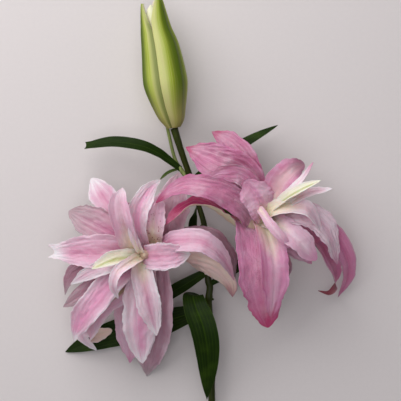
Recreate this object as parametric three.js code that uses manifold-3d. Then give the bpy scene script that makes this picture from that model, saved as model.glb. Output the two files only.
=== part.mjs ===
// A cut stem of a double oriental lily with two open blooms and two buds, lying on its back.
// Millimetres, +Z up. +Y runs along the stem towards the buds, +X to the right bloom.
// Places are first given from the fork of the stem, and the whole is set down at the end.
import * as THREE from 'three';
import { mergeVertices } from 'three/addons/utils/BufferGeometryUtils.js';
import Module from 'manifold-3d';

const PETAL_THICKNESS = 1.0;
const HEART_THICKNESS = 1.4;
const LEAF_THICKNESS = 0.9;
const CLEARANCE = 0.5;
const BLADE_STEPS = 7;
const WIDE_BLADE = 25;
const WIDE_STRIPS = 4;
const SLIM_STRIPS = 2;
const TIP_BLUNTNESS = 0.04;
const CLAW_SWELL = 1.2;
const TIP_TAPER = 2.1;
const RUFFLE_REACH = 3;
const RUFFLE_FADE = 0.6;
const FAR_EDGE_PHASE = 1.9;
const STEM_SIDES = 10;
const BRANCH_SIDES = 8;
const STEM_STEPS = 34;
const STEPS_PER_BRANCH_POINT = 4;
const STEM_END_SLANT = 35;
const STEM_END_TRIM = 6;
const EGG_SIDES = 12;
const EGG_RINGS = 8;

const PALE_PINK = { color: 0xd9a5bd, roughness: 0.55 };
const DEEP_PINK = { color: 0xc87fa3, roughness: 0.55 };
const CREAM_GREEN = { color: 0xe4e3b4, roughness: 0.5 };
const LEAF_GREEN = { color: 0x24361c, roughness: 0.45 };
const STEM_GREEN = { color: 0x3a4b20, roughness: 0.5 };
const BUD_GREEN = { color: 0x93a84e, roughness: 0.45 };

// A blade is a petal or a leaf. spine: points from its root to its tip. width: at its widest.
// faces: which way its upper face looks, from root to tip. cup: how far each half folds up,
// in degrees, at the root and at the tip. claw: width at the root, as a share of the width.
// belly: where it is widest. tip: below 1 rounder, above 1 more pointed. ruffle: edge wave.
const LEFT_BLOOM = {
  receptacle: { at: [-45, -11, 37], size: [13, 11, 19] },
  petals: [
    { // broad lowest tepal
      spine: [[-43, -10, 32], [-44, -30, 46], [-47, -70, 46], [-50, -110, 24], [-54, -142, 0.5]],
      width: 46, faces: [[-0.2, 0.5, 1], [-0.1, -0.1, 1]], cup: [35, 10], belly: 0.45, claw: 0.35,
      tip: 0.9,
    },
    { // beside it to the left
      spine: [[-43, -10, 32], [-54, -32, 44], [-67, -75, 38], [-71, -127, 14]],
      width: 38, faces: [[-0.2, 0.4, 1], [-0.3, -0.2, 1]], cup: [35, 8], claw: 0.35,
    },
    { // rearmost tepal to the right
      spine: [[-41, -8, 32], [-10, 4, 45], [15, 0, 50], [33, -22, 40], [37, -42, 26]],
      width: 24, faces: [[0.1, 0.5, 1], [0.6, 0.5, 0.6]], cup: [30, 10],
    },
    { // recurved tepal that shows its outside
      spine: [
        [-41, -11, 32], [-14, -20, 48], [6, -25, 60], [18, -32, 58], [29, -44, 48], [34, -58, 36],
      ],
      width: 27, faces: [[0, 0.3, 1], [0.15, 0.6, -0.75], [0.5, 0.35, -0.75]], cup: [30, 20],
      claw: 0.5,
    },
    { // broad rear tepal, upper right
      spine: [[-43, -8, 33], [-32, 8, 42], [-26, 35, 47], [-20, 68, 43]],
      width: 36, faces: [[-0.4, -0.2, 1], [0, 0.2, 1]], cup: [30, 8],
    },
    { // rear tepal, top
      spine: [[-42, -7, 32], [-60, 12, 42], [-78, 32, 40], [-86, 49, 30]],
      width: 24, faces: [[0, -0.4, 1], [-0.3, 0.3, 1]], cup: [25, 5],
    },
    { // narrow rear tepal, left
      spine: [[-42, -10, 28], [-80, -20, 45], [-118, -28, 42], [-132, -40, 32], [-137, -57, 20]],
      width: 20, faces: [[0.3, -0.2, 1], [-0.8, -0.1, 0.6]], cup: [25, 10], belly: 0.55,
    },
    { // rear tepal whose end curls back
      spine: [
        [-42, -12, 30], [-70, -45, 56], [-98, -66, 56], [-114, -88, 40], [-107, -99, 24], [-89, -92, 18],
      ],
      width: 24, faces: [[0.2, 0.2, 1], [-0.3, -0.6, 0.7], [-0.2, -0.6, -0.8]], cup: [25, 30],
      belly: 0.6,
    },
    { // twisted end below the curl
      spine: [[-44, -12, 30], [-80, -50, 38], [-108, -85, 30], [-119, -98, 25], [-105, -114, 17]],
      width: 15, faces: [[0.2, 0.2, 1], [-0.6, -0.3, 0.8]], cup: [25, 20], belly: 0.6, claw: 0.5,
    },
    { // long petal, bottom
      spine: [[-46, -14, 36], [-56, -35, 62], [-58, -75, 62], [-57, -125, 40]],
      width: 37, faces: [[0, 0.5, 1], [0, -0.1, 1]], cup: [30, 12], belly: 0.55,
      ruffle: { height: 1.2, waves: 3 },
    },
    { // foremost petal, bottom
      spine: [[-50, -15, 48], [-57, -26, 72], [-51, -55, 78], [-42, -95, 64]],
      width: 25, faces: [[-0.1, 0.5, 1], [0.1, 0.1, 1]], cup: [35, 15], belly: 0.55, claw: 0.45,
      ruffle: { height: 1.2, waves: 3 },
    },
    { // short petal, right
      spine: [[-50, -13, 48], [-52, -16, 70], [-30, -15, 84], [-8, -13, 78]],
      width: 28, faces: [[-1, 0, 0.6], [0.1, 0.1, 1]], cup: [40, 15], belly: 0.6, claw: 0.45,
      ruffle: { height: 1.0, waves: 3 },
    },
    { // long recurved petal, right
      spine: [[-46, -10, 42], [-25, -1, 74], [0, -1, 84], [14, -8, 82], [26, -21, 72], [35, -40, 60]],
      width: 25, faces: [[-0.3, 0.3, 1], [0.5, 0.4, 0.8]], cup: [30, 15], belly: 0.45, claw: 0.5,
    },
    { // upper right petal
      spine: [[-52, -8, 52], [-60, 10, 74], [-59, 32, 82], [-49, 50, 80], [-38, 60, 76]],
      width: 21, faces: [[-0.2, -0.5, 1], [0.3, 0, 1]], cup: [35, 20], belly: 0.6, claw: 0.45,
    },
    { // freckled petal
      spine: [[-45, -8, 42], [-48, 8, 56], [-46, 28, 58], [-39, 46, 53]],
      width: 22, faces: [[-0.5, -0.3, 1], [-0.2, 0, 1]], cup: [35, 10], claw: 0.5,
    },
    { // upright petal with rolled edges
      spine: [[-52, -14, 50], [-65, -8, 76], [-73, 15, 94], [-77, 36, 96], [-75, 52, 88]],
      width: 24, faces: [[-0.2, -0.8, 0.6], [-0.1, 0, 1]], cup: [50, 50], belly: 0.7, claw: 0.5,
      tip: 0.6,
    },
    { // upper left petal
      spine: [[-42, -7, 34], [-64, 12, 56], [-88, 32, 56], [-109, 62, 40]],
      width: 27, faces: [[0.2, -0.3, 1], [-0.2, 0.2, 1]], cup: [30, 20], belly: 0.68, tip: 0.6,
    },
    { // left petal, upper
      spine: [[-42, -5, 38], [-70, 0, 62], [-100, 14, 60], [-131, 29, 42]],
      width: 31, faces: [[0.3, -0.1, 1], [-0.4, 0.3, 1]], cup: [30, 15], belly: 0.6, tip: 0.6,
    },
    { // left petal, long
      spine: [[-50, -12, 45], [-72, -8, 70], [-103, -7, 74], [-130, -9, 64], [-151, -13, 54]],
      width: 30, faces: [[0.3, 0, 1], [-0.3, 0, 1]], cup: [30, 20], belly: 0.6, tip: 0.5,
      ruffle: { height: 1.3, waves: 3 },
    },
    { // left petal, slim
      spine: [[-52, -15, 50], [-78, -21, 78], [-103, -29, 76], [-128, -44, 62]],
      width: 16, faces: [[0.3, 0.2, 1], [-0.3, -0.2, 1]], cup: [30, 20], belly: 0.55, claw: 0.45,
    },
    { // lower left petal, rear
      spine: [[-48, -13, 42], [-78, -28, 62], [-108, -48, 58], [-137, -68, 42]],
      width: 21, faces: [[0.3, 0.2, 1], [-0.4, -0.2, 1]], cup: [25, 15], belly: 0.6, claw: 0.45,
    },
    { // lower left petal, front
      spine: [[-50, -15, 46], [-78, -34, 70], [-104, -62, 70], [-121, -86, 56], [-126, -102, 44]],
      width: 28, faces: [[0.2, 0.3, 1], [-0.5, -0.2, 0.9]], cup: [30, 20], belly: 0.6,
      ruffle: { height: 1.6, waves: 3 },
    },
  ],
  heart: {
    core: { at: [-54, -14, 64], size: [6, 6, 14] },
    petals: [
      { // boat of cream and green
        spine: [[-54, -15, 60], [-66, -18, 82], [-84, -21, 98], [-104, -28, 106]],
        width: 22, faces: [[0.3, 0.2, 0.6], [0.3, 0.8, 0.7]], cup: [60, 60], belly: 0.6, claw: 0.5,
      },
      { // strap that bends down
        spine: [[-54, -15, 60], [-64, -20, 84], [-78, -26, 98], [-83, -42, 96], [-79, -59, 86]],
        width: 13, faces: [[0.3, 0.3, 1], [-0.3, 0.1, 1]], cup: [40, 30], claw: 0.8,
      },
      { // thin upright strip
        spine: [[-54, -13, 60], [-58, -10, 80], [-65, 8, 92], [-67, 28, 96]],
        width: 8, faces: [[-0.3, -0.5, 1], [0.2, -0.1, 1]], cup: [40, 20], claw: 0.8,
      },
    ],
  },
};

const RIGHT_BLOOM = {
  receptacle: { at: [52, 15, 42], size: [15, 11, 17] },
  petals: [
    { // rear tepal, top
      spine: [[46, 14, 36], [54, 48, 52], [47, 75, 57], [33, 96, 52], [13, 109, 40]],
      width: 28, faces: [[0.3, -0.6, 1], [-0.1, 0.3, 1]], cup: [30, 15], belly: 0.55, claw: 0.5,
    },
    { // broad upper left petal
      spine: [[44, 16, 36], [56, 40, 55], [43, 66, 66], [18, 78, 66], [-13, 93, 50]],
      width: 37, faces: [[0.5, -0.5, 1], [-0.2, 0.1, 1]], cup: [30, 12], belly: 0.6, claw: 0.5,
    },
    { // long recurved petal, left
      spine: [
        [58, 16, 48], [46, 32, 70], [25, 46, 80], [4, 53, 83], [-14, 54, 77], [-31, 47, 70],
        [-43, 37, 64],
      ],
      width: 27, faces: [[0.5, -0.2, 1], [-0.2, 0.6, 0.8]], cup: [30, 20], belly: 0.25, claw: 1.15,
      tip: 0.6,
    },
    { // boat-shaped recurved tepal under it
      spine: [
        [46, 11, 36], [34, 17, 52], [24, 25, 60], [10, 34.5, 66], [-6, 36, 67], [-20, 28, 65],
        [-34, 14, 63],
      ],
      width: 24, faces: [[0.6, 0, 0.8], [0.1, 1, 0.15], [-0.3, 0.9, 0.3]], cup: [40, 40],
      belly: 0.45, claw: 0.5,
    },
    { // big petal, bottom
      spine: [[48, 14, 40], [58, 10, 62], [62, -25, 74], [65, -60, 65], [69, -88, 50]],
      width: 43, faces: [[0.3, 0.5, 1], [-0.1, -0.1, 1]], cup: [35, 20], claw: 0.5, tip: 0.6,
    },
    { // petal that lies on it
      spine: [[62, 20, 52], [68, 8, 74], [74, -20, 86], [74, -52, 78], [72, -78, 62]],
      width: 32, faces: [[0.3, 0.5, 1], [0.1, -0.1, 1]], cup: [30, 20], belly: 0.45, tip: 0.8,
    },
    { // rear tepal, bottom
      spine: [[48, 12, 34], [70, 0, 50], [84, -20, 50], [86, -60, 34]],
      width: 28, faces: [[0.2, 0.5, 1], [0.2, -0.2, 1]], cup: [25, 10],
    },
    { // lower right petal
      spine: [[64, 20, 58], [80, 16, 80], [98, 0, 88], [115, -19, 78]],
      width: 22, faces: [[-0.3, 0.6, 1], [0.2, 0.2, 1]], cup: [35, 20], belly: 0.6, claw: 0.5, tip: 0.6,
    },
    { // lower right petal, rear
      spine: [[50, 12, 36], [75, 8, 58], [96, -6, 62], [113, -24, 52]],
      width: 24, faces: [[0, 0.5, 1], [0.3, -0.1, 1]], cup: [25, 10], belly: 0.55, claw: 0.45,
    },
    { // slim pale petal, right
      spine: [[62, 24, 60], [80, 34, 84], [102, 33, 92], [112, 25, 88], [121, 9, 78]],
      width: 14, faces: [[-0.3, 0.3, 1], [0.5, 0.5, 0.8]], cup: [35, 30], claw: 0.6,
    },
    { // far right petal
      spine: [[60, 22, 52], [95, 27, 76], [118, 20, 78], [130, 2, 72], [138, -24, 60]],
      width: 30, faces: [[-0.2, 0.5, 1], [0.6, 0.3, 0.8]], cup: [30, 15], claw: 0.5,
      ruffle: { height: 1.0, waves: 3 },
    },
    { // far right rear tepal
      spine: [
        [48, 13, 34], [90, 28, 56], [122, 14, 60], [143, -12, 46], [149, -38, 24], [143, -59, 0.4],
      ],
      width: 19, faces: [[-0.2, 0.4, 1], [0.8, 0.1, 0.6]], cup: [30, 15],
    },
    { // far right tepal with a hooked end
      spine: [
        [48, 12, 34], [85, 16, 52], [115, 2, 56], [134, -24, 42], [139, -44, 26], [132, -55, 18],
        [122, -53, 16],
      ],
      width: 24, faces: [[0, 0.4, 1], [0.4, 0.7, 0.3], [0.8, 0.2, 0.6], [0, -0.8, -0.4]],
      cup: [30, 40], belly: 0.45,
    },
    { // upper right petal, standing
      spine: [[62, 22, 52], [73, 38, 70], [81, 58, 80], [91, 69, 82], [103, 76, 76]],
      width: 29, faces: [[-0.4, -0.4, 1], [-0.3, -0.2, 1]], cup: [35, 20], belly: 0.6, tip: 0.6,
      ruffle: { height: 1.2, waves: 3 },
    },
    { // petal at the throat's left
      spine: [[66, 20, 54], [66, 33, 70], [59, 48, 80], [50, 62, 79]],
      width: 21, faces: [[0.6, -0.1, 1], [0.3, -0.3, 1]], cup: [30, 15], belly: 0.55, claw: 0.6,
    },
  ],
  heart: {
    core: { at: [67, 23, 66], size: [5, 5, 13] },
    petals: [
      { // upright strip
        spine: [[67, 24, 62], [84, 43, 84], [100, 60, 96], [108, 72, 100], [111, 77, 100]],
        width: 9, faces: [[-0.5, 0.4, 1], [-0.7, 0.3, 0.8]], cup: [40, 30], belly: 0.6, claw: 0.8,
      },
      { // boat of cream and green
        spine: [[68, 25, 62], [84, 40, 88], [100, 50, 102], [110, 55, 106], [118, 59, 108]],
        width: 13, faces: [[-0.4, 0.5, 0.6], [-0.4, 0.6, 0.7]], cup: [55, 60], belly: 0.55, claw: 0.6,
      },
      { // low strip
        spine: [[68, 24, 62], [88, 37, 84], [108, 47, 92], [130, 51, 96]],
        width: 9, faces: [[-0.2, 0.6, 1], [-0.2, 0.5, 0.9]], cup: [40, 30], claw: 0.8,
      },
      { // thin curl across the bottom petals
        spine: [[65, 21, 62], [61, 30, 82], [70, 16, 94], [80, 4, 96], [88, -4, 92]],
        width: 6, faces: [[-0.5, 0.4, 1], [-0.3, 0.3, 1]], cup: [30, 20], claw: 0.8,
      },
    ],
  },
};

const LEAVES = {
  leaf_upper_left: {
    spine: [
      [-19, 71.5, 26.5], [-33, 82, 30], [-42, 88, 34], [-58, 94.5, 38], [-86, 98.5, 36],
      [-116, 95, 28],
    ],
    width: 14, faces: [[-0.1, 0.6, 1], [-0.1, 0.7, 0.9]], cup: [30, 20], belly: 0.6, claw: 0.45,
    tip: 0.4,
  },
  leaf_upper_right: {
    spine: [[-8.5, 59, 30], [15, 76, 25], [45, 97, 26], [80, 116, 30]],
    width: 13, faces: [[-0.3, 0.5, 1], [-0.3, 0.5, 1]], cup: [20, 20], belly: 0.4,
  },
  leaf_fork: {
    spine: [[-19, 72, 25.5], [-31, 68, 22], [-40, 61, 18]],
    width: 5, faces: [[0, 0.9, 0.4], [0, 0.9, 0.4]], cup: [20, 20], claw: 0.6,
  },
  leaf_hanging: {
    spine: [[-1, 36, 27.5], [-5.5, 24, 19], [-7, 8, 14]],
    width: 9, faces: [[1, 0, 0.1], [0, 0.1, 1]], cup: [20, 20], belly: 0.8, claw: 0.6,
  },
  leaf_front: {
    spine: [
      [9, -66, 29], [-3, -58, 34], [-6, -57, 44], [-3, -68, 52], [5, -90, 54], [9, -120, 44],
      [8, -163, 24],
    ],
    width: 27, faces: [[0, 1, 0.3], [-0.1, 0.5, 1], [0, 0.1, 1], [0, 0.1, 1]], cup: [15, 15],
    belly: 0.4, tip: 0.9,
  },
  leaf_mid_left: {
    spine: [[6, -34, 27], [-14, -46, 26], [-40, -62, 20], [-64, -80, 14]],
    width: 14, faces: [[0, 0.4, 1], [0, 0.4, 1]], cup: [20, 15], belly: 0.4, claw: 0.6,
  },
  leaf_lower_left: {
    spine: [
      [8, -68, 23], [-15, -78, 18], [-50, -89, 12], [-82, -96, 8], [-112, -106, 5],
      [-138, -117, 1.2],
    ],
    width: 30, faces: [[0, 0.1, 1], [0, 0.1, 1]], cup: [20, 10], belly: 0.45, claw: 0.35,
  },
  leaf_right: {
    spine: [[12, -45, 27], [25, -37, 26], [40, -27, 24], [58, -8, 20], [78, 12, 16]],
    width: 11, faces: [[0, -0.3, 1], [0, -0.3, 1]], cup: [20, 15], belly: 0.45, claw: 0.5,
  },
};

// Each branch: its points, and the radius at each point.
const MAIN_STEM = {
  points: [
    [-25.2, 112, 42.8], [-18.3, 90, 38], [-10.5, 67, 32], [-1, 36, 28], [5, 15, 27], [8, -12, 27],
    [9, -39, 26], [11, -49, 25], [10, -63, 24], [12, -100, 20], [13, -160, 12], [14, -205, 6],
    [14, -255, 4],
  ],
  radii: [3.9, 3.2, 2.9, 2.6, 3.0, 2.9, 3.1, 3.5, 3.3, 3.4, 3.6, 3.8, 3.9],
};
const BRANCHES = [
  { // stalk of the left bloom
    points: [[4, 14, 27], [-8, 2, 27], [-20, -5, 26], [-35, -9, 29]],
    radii: [2.2, 2.3, 2.6, 3],
  },
  { // stalk of the right bloom
    points: [[-6, 50, 29], [10, 44, 28], [26, 30, 28], [42, 15, 35]],
    radii: [2.2, 2.3, 2.6, 3],
  },
  { // pale stalk of the small bud
    points: [[-8, 58, 30], [-17, 69, 27], [-25, 83, 20], [-32.8, 115.2, 8.5]],
    radii: [2.4, 2.4, 1.8, 1.7],
  },
  { // scar of a fallen leaf
    points: [[11, -60, 24], [15, -61.5, 25]],
    radii: [1.8, 0.9],
  },
  { // knuckle at the lower fork
    points: [[5, 13, 27], [8, 14, 28]],
    radii: [2.2, 1.2],
  },
];

// The large bud: points of its axis, with its radius at each, and its outer tepals. ribAngles:
// where each tepal's middle lies round the axis. tipAt: where it ends along the axis. halfAngle:
// how far it wraps to each side, until it narrows from the share narrowsFrom of its length.
const BUD = {
  axis: [
    [-25.4, 113, 43], [-28.3, 133, 45], [-32.3, 150, 46], [-33, 163, 46], [-38.4, 191, 46],
    [-44, 212, 46], [-47, 240, 46], [-43, 251, 46],
  ],
  radii: [6.5, 17, 21.7, 22.4, 19.3, 15.5, 11, 9],
  ribAngles: [45, -75, 165],
  tipAt: [1, 0.9, 0.95],
  tepalThickness: 2.4,
  tepalSwell: 0.8,
  halfAngle: 60,
  narrowsFrom: 0.76,
  narrowing: [1.3, 0.8],
  coreInset: 1.2,
  coreTipRadius: 2,
  sides: 12,
  steps: 12,
  tepalStrips: 4,
};
const SMALL_BUD = {
  axis: [[-33, 116, 8.3], [-35, 133, 8], [-37.5, 150, 7.6], [-39, 166, 7.2]],
  radii: [2.2, 8.6, 7.6, 1.2],
  sides: 12,
  steps: 9,
  flattened: 0.4,
};

const manifold = await Module();
manifold.setup();

const vector = (values) => new THREE.Vector3(...values);
const lerp = THREE.MathUtils.lerp;
const radians = THREE.MathUtils.degToRad;

/** Value of a list of samples that are spread evenly over 0..1, smoothly blended. */
function blendAlong(samples, u) {
  const place = u * (samples.length - 1);
  const index = Math.min(Math.floor(place), samples.length - 2);
  const share = THREE.MathUtils.smoothstep(place - index, 0, 1);
  return samples[index].clone().lerp(samples[index + 1], share);
}

/** Half-width of a blade at u, as a share of its half-width. */
function bladeOutline(u, { belly = 0.5, claw = 0.4, tip = 0.75 }) {
  if (u < belly) {
    return claw + (1 - claw) * Math.sin((Math.PI / 2) * (u / belly)) ** CLAW_SWELL;
  }
  const past = (u - belly) / (1 - belly);
  return Math.max((1 - past ** TIP_TAPER) ** tip, TIP_BLUNTNESS);
}

/** Curve and frame of a blade: the point, and the directions along, across and up at u. */
function bladeFrame(curve, faces, u) {
  const point = curve.getPointAt(u);
  const along = curve.getTangentAt(u);
  const up = blendAlong(faces, u);
  up.addScaledVector(along, -up.dot(along)).normalize();
  const across = along.clone().cross(up);
  return { point, along, up, across };
}

/** A point on the middle surface of a blade, and the direction out of its upper face. */
function bladePoint(blade, curve, faces, u, v, extra) {
  const { point, up, across } = bladeFrame(curve, faces, u);
  const half = (blade.width / 2) * bladeOutline(u, blade) + extra;
  const fold = radians(lerp(blade.cup[0], blade.cup[1], u));
  const { height = 0, waves = 1 } = blade.ruffle ?? {};
  const phase = v > 0 ? 0 : FAR_EDGE_PHASE;
  const wave = height * Math.sin(2 * Math.PI * waves * u + phase)
    * Math.abs(v) ** RUFFLE_REACH * Math.sin(Math.PI * u) ** RUFFLE_FADE;
  const sideways = (half * Math.sin(fold * v)) / fold;
  const raised = (half * (1 - Math.cos(fold * v))) / fold + wave;
  point.addScaledVector(across, sideways).addScaledVector(up, raised);
  const outward = up.clone().multiplyScalar(Math.cos(fold * v))
    .addScaledVector(across, -Math.sin(fold * v));
  return { point, outward };
}

/** Closed surface from two matching grids of points, upper and lower, joined round the rim. */
function sheetGeometry(upper, lower) {
  const rows = upper.length;
  const columns = upper[0].length;
  const positions = [...upper.flat(), ...lower.flat()].flatMap((p) => p.toArray());
  const top = (i, j) => i * columns + j;
  const bottom = (i, j) => rows * columns + i * columns + j;
  const indices = [];
  for (let i = 0; i < rows - 1; i += 1) {
    for (let j = 0; j < columns - 1; j += 1) {
      indices.push(top(i, j), top(i, j + 1), top(i + 1, j + 1));
      indices.push(top(i, j), top(i + 1, j + 1), top(i + 1, j));
      indices.push(bottom(i, j), bottom(i + 1, j + 1), bottom(i, j + 1));
      indices.push(bottom(i, j), bottom(i + 1, j), bottom(i + 1, j + 1));
    }
  }
  const rim = [];
  for (let j = 0; j < columns - 1; j += 1) rim.push([0, j]);
  for (let i = 0; i < rows - 1; i += 1) rim.push([i, columns - 1]);
  for (let j = columns - 1; j > 0; j -= 1) rim.push([rows - 1, j]);
  for (let i = rows - 1; i > 0; i -= 1) rim.push([i, 0]);
  rim.forEach(([i, j], k) => {
    const [ni, nj] = rim[(k + 1) % rim.length];
    indices.push(top(i, j), bottom(i, j), bottom(ni, nj));
    indices.push(top(i, j), bottom(ni, nj), top(ni, nj));
  });
  const geometry = new THREE.BufferGeometry();
  geometry.setAttribute('position', new THREE.Float32BufferAttribute(positions, 3));
  geometry.setIndex(indices);
  return geometry;
}

/** One petal or leaf as a closed sheet of the given thickness, larger all round by extra. */
function bladeGeometry(blade, thickness, extra = 0) {
  const curve = new THREE.CatmullRomCurve3(blade.spine.map(vector), false, 'catmullrom', 0.5);
  const faces = blade.faces.map((face) => vector(face).normalize());
  const strips = blade.width > WIDE_BLADE ? WIDE_STRIPS : SLIM_STRIPS;
  const upper = [];
  const lower = [];
  for (let i = 0; i <= BLADE_STEPS; i += 1) {
    const upperRow = [];
    const lowerRow = [];
    for (let j = 0; j <= strips; j += 1) {
      const v = (2 * j) / strips - 1;
      const { point, outward } = bladePoint(blade, curve, faces, i / BLADE_STEPS, v, extra);
      upperRow.push(point.clone().addScaledVector(outward, thickness / 2 + extra));
      lowerRow.push(point.clone().addScaledVector(outward, -thickness / 2 - extra));
    }
    upper.push(upperRow);
    lower.push(lowerRow);
  }
  return sheetGeometry(upper, lower);
}

/** Closed round body along an axis, with a radius at each point of the axis. */
function spindleGeometry(points, radii, sides, steps) {
  const curve = new THREE.CatmullRomCurve3(points.map(vector), false, 'catmullrom', 0.5);
  const frames = curve.computeFrenetFrames(steps, false);
  const positions = [];
  const indices = [];
  for (let i = 0; i <= steps; i += 1) {
    const radius = radiusAt(curve, points, radii, i / steps);
    const centre = curve.getPointAt(i / steps);
    for (let k = 0; k < sides; k += 1) {
      const angle = (2 * Math.PI * k) / sides;
      const spoke = frames.normals[i].clone().multiplyScalar(Math.cos(angle) * radius)
        .addScaledVector(frames.binormals[i], Math.sin(angle) * radius);
      positions.push(...centre.clone().add(spoke).toArray());
    }
  }
  for (let i = 0; i < steps; i += 1) {
    for (let k = 0; k < sides; k += 1) {
      const next = (k + 1) % sides;
      const [a, b] = [i * sides + k, i * sides + next];
      indices.push(a, b, b + sides, a, b + sides, a + sides);
    }
  }
  const last = steps * sides;
  for (let k = 1; k < sides - 1; k += 1) {
    indices.push(0, k + 1, k, last, last + k, last + k + 1);
  }
  const geometry = new THREE.BufferGeometry();
  geometry.setAttribute('position', new THREE.Float32BufferAttribute(positions, 3));
  geometry.setIndex(indices);
  return geometry;
}

/** Radius at u of a curve whose radii are given at its control points. */
function radiusAt(curve, points, radii, u) {
  const place = curve.getUtoTmapping(u) * (points.length - 1);
  const index = Math.min(Math.floor(place), points.length - 2);
  return lerp(radii[index], radii[index + 1], place - index);
}

/** Turns a closed geometry into a solid. */
function toSolid(geometry) {
  const bare = geometry.clone();
  bare.deleteAttribute('normal');
  bare.deleteAttribute('uv');
  const merged = mergeVertices(bare, 1e-4);
  const mesh = new manifold.Mesh({
    numProp: 3,
    vertProperties: new Float32Array(merged.attributes.position.array),
    triVerts: new Uint32Array(merged.index.array),
  });
  return new manifold.Manifold(mesh);
}

/** Joins solids into one. */
function fuse(solids) {
  return solids.reduce((whole, solid) => whole.add(solid));
}

/** The largest connected piece of a solid. */
function largestPiece(solid) {
  return solid.decompose().reduce((a, b) => (a.volume() > b.volume() ? a : b));
}

/** Turns a solid back into a geometry. */
function toGeometry(solid) {
  const mesh = solid.getMesh();
  const geometry = new THREE.BufferGeometry();
  geometry.setAttribute('position', new THREE.BufferAttribute(mesh.vertProperties, 3));
  geometry.setIndex(new THREE.BufferAttribute(mesh.triVerts, 1));
  geometry.computeVertexNormals();
  return geometry;
}

/** An egg-shaped body, as a solid. */
function eggSolid({ at, size }) {
  const geometry = new THREE.SphereGeometry(1, EGG_SIDES, EGG_RINGS);
  geometry.scale(...size);
  geometry.translate(...at);
  return toSolid(geometry);
}

/** All blades of a list and the body that they grow from, as one solid, larger by extra. */
function bladeCluster(body, blades, thickness, extra = 0) {
  const egg = eggSolid({ at: body.at, size: body.size.map((radius) => radius + extra) });
  return fuse([egg, ...blades.map((blade) => toSolid(bladeGeometry(blade, thickness, extra)))]);
}

/** Petals and cream heart of a bloom, and the room that its petals need round them. */
function makeBloom({ receptacle, petals, heart }) {
  const grown = bladeCluster(receptacle, petals, PETAL_THICKNESS, CLEARANCE);
  return {
    petals: largestPiece(bladeCluster(receptacle, petals, PETAL_THICKNESS)),
    heart: largestPiece(bladeCluster(heart.core, heart.petals, HEART_THICKNESS).subtract(grown)),
    grown,
  };
}

/** One outer tepal of the large bud, wrapped round the bud's axis. */
function budTepalGeometry(curve, ribAngle, tipAt) {
  const outer = [];
  const inner = [];
  const [taper, roundness] = BUD.narrowing;
  for (let i = 0; i <= BUD.steps; i += 1) {
    const share = i / BUD.steps;
    const t = tipAt * share;
    const past = Math.max(0, (share - BUD.narrowsFrom) / (1 - BUD.narrowsFrom));
    const spread = BUD.halfAngle * Math.max((1 - past ** taper) ** roundness, TIP_BLUNTNESS);
    const radius = radiusAt(curve, BUD.axis, BUD.radii, t);
    const centre = curve.getPointAt(t);
    const along = curve.getTangentAt(t);
    const front = new THREE.Vector3(0, 0, 1).addScaledVector(along, -along.z).normalize();
    const side = along.clone().cross(front);
    const outerRow = [];
    const innerRow = [];
    for (let j = 0; j <= BUD.tepalStrips; j += 1) {
      const v = (2 * j) / BUD.tepalStrips - 1;
      const angle = radians(ribAngle + spread * v);
      const spoke = front.clone().multiplyScalar(Math.cos(angle))
        .addScaledVector(side, Math.sin(angle));
      const swell = BUD.tepalSwell * (1 - v * v);
      outerRow.push(centre.clone().addScaledVector(spoke, radius + swell));
      innerRow.push(centre.clone().addScaledVector(spoke, radius - BUD.tepalThickness));
    }
    outer.push(outerRow);
    inner.push(innerRow);
  }
  return sheetGeometry(outer, inner);
}

/** The large bud: a body with three wrapped outer tepals whose tips stand apart. */
function makeBud() {
  const curve = new THREE.CatmullRomCurve3(BUD.axis.map(vector), false, 'catmullrom', 0.5);
  const coreAxis = BUD.axis.slice(0, -1);
  const coreRadii = BUD.radii.slice(0, -1).map((radius) => radius - BUD.coreInset);
  coreRadii[coreRadii.length - 1] = BUD.coreTipRadius;
  const core = toSolid(spindleGeometry(coreAxis, coreRadii, BUD.sides, BUD.steps));
  const tepals = BUD.ribAngles.map(
    (angle, k) => toSolid(budTepalGeometry(curve, angle, BUD.tipAt[k])),
  );
  return largestPiece(fuse([core, ...tepals]));
}

/** The small bud, pressed a little flat where it lies. */
function makeSmallBud() {
  const { axis, radii, sides, steps } = SMALL_BUD;
  const body = toSolid(spindleGeometry(axis, radii, sides, steps));
  const lowest = body.boundingBox().min[2];
  return body.trimByPlane([0, 0, 1], lowest + SMALL_BUD.flattened);
}

/** The stem with its branches, stubs and slanting cut end, made thicker by extra. */
function makeStem(extra = 0) {
  const thicker = (radii) => radii.map((radius) => radius + extra);
  const main = toSolid(
    spindleGeometry(MAIN_STEM.points, thicker(MAIN_STEM.radii), STEM_SIDES, STEM_STEPS),
  );
  const branches = BRANCHES.map(({ points, radii }) => {
    const steps = STEPS_PER_BRANCH_POINT * (points.length - 1);
    return toSolid(spindleGeometry(points, thicker(radii), BRANCH_SIDES, steps));
  });
  const slantAngle = radians(STEM_END_SLANT);
  const slant = new THREE.Vector3(0, Math.cos(slantAngle), Math.sin(slantAngle));
  const end = vector(MAIN_STEM.points.at(-1));
  const cutAt = slant.dot(end.setY(end.y + STEM_END_TRIM));
  return fuse([main, ...branches]).trimByPlane(slant.toArray(), cutAt);
}

const lily = new THREE.Group();

/** Adds a solid to the lily as a named mesh. */
function addPiece(name, solid, finish) {
  const material = new THREE.MeshStandardMaterial({ metalness: 0, ...finish });
  const mesh = new THREE.Mesh(toGeometry(solid), material);
  mesh.name = name;
  lily.add(mesh);
}

const leftBloom = makeBloom(LEFT_BLOOM);
const rightBloom = makeBloom(RIGHT_BLOOM);
const stem = largestPiece(makeStem().subtract(leftBloom.grown).subtract(rightBloom.grown));
const stemRoom = makeStem(CLEARANCE);
const bud = makeBud();
const smallBud = makeSmallBud();

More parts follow.
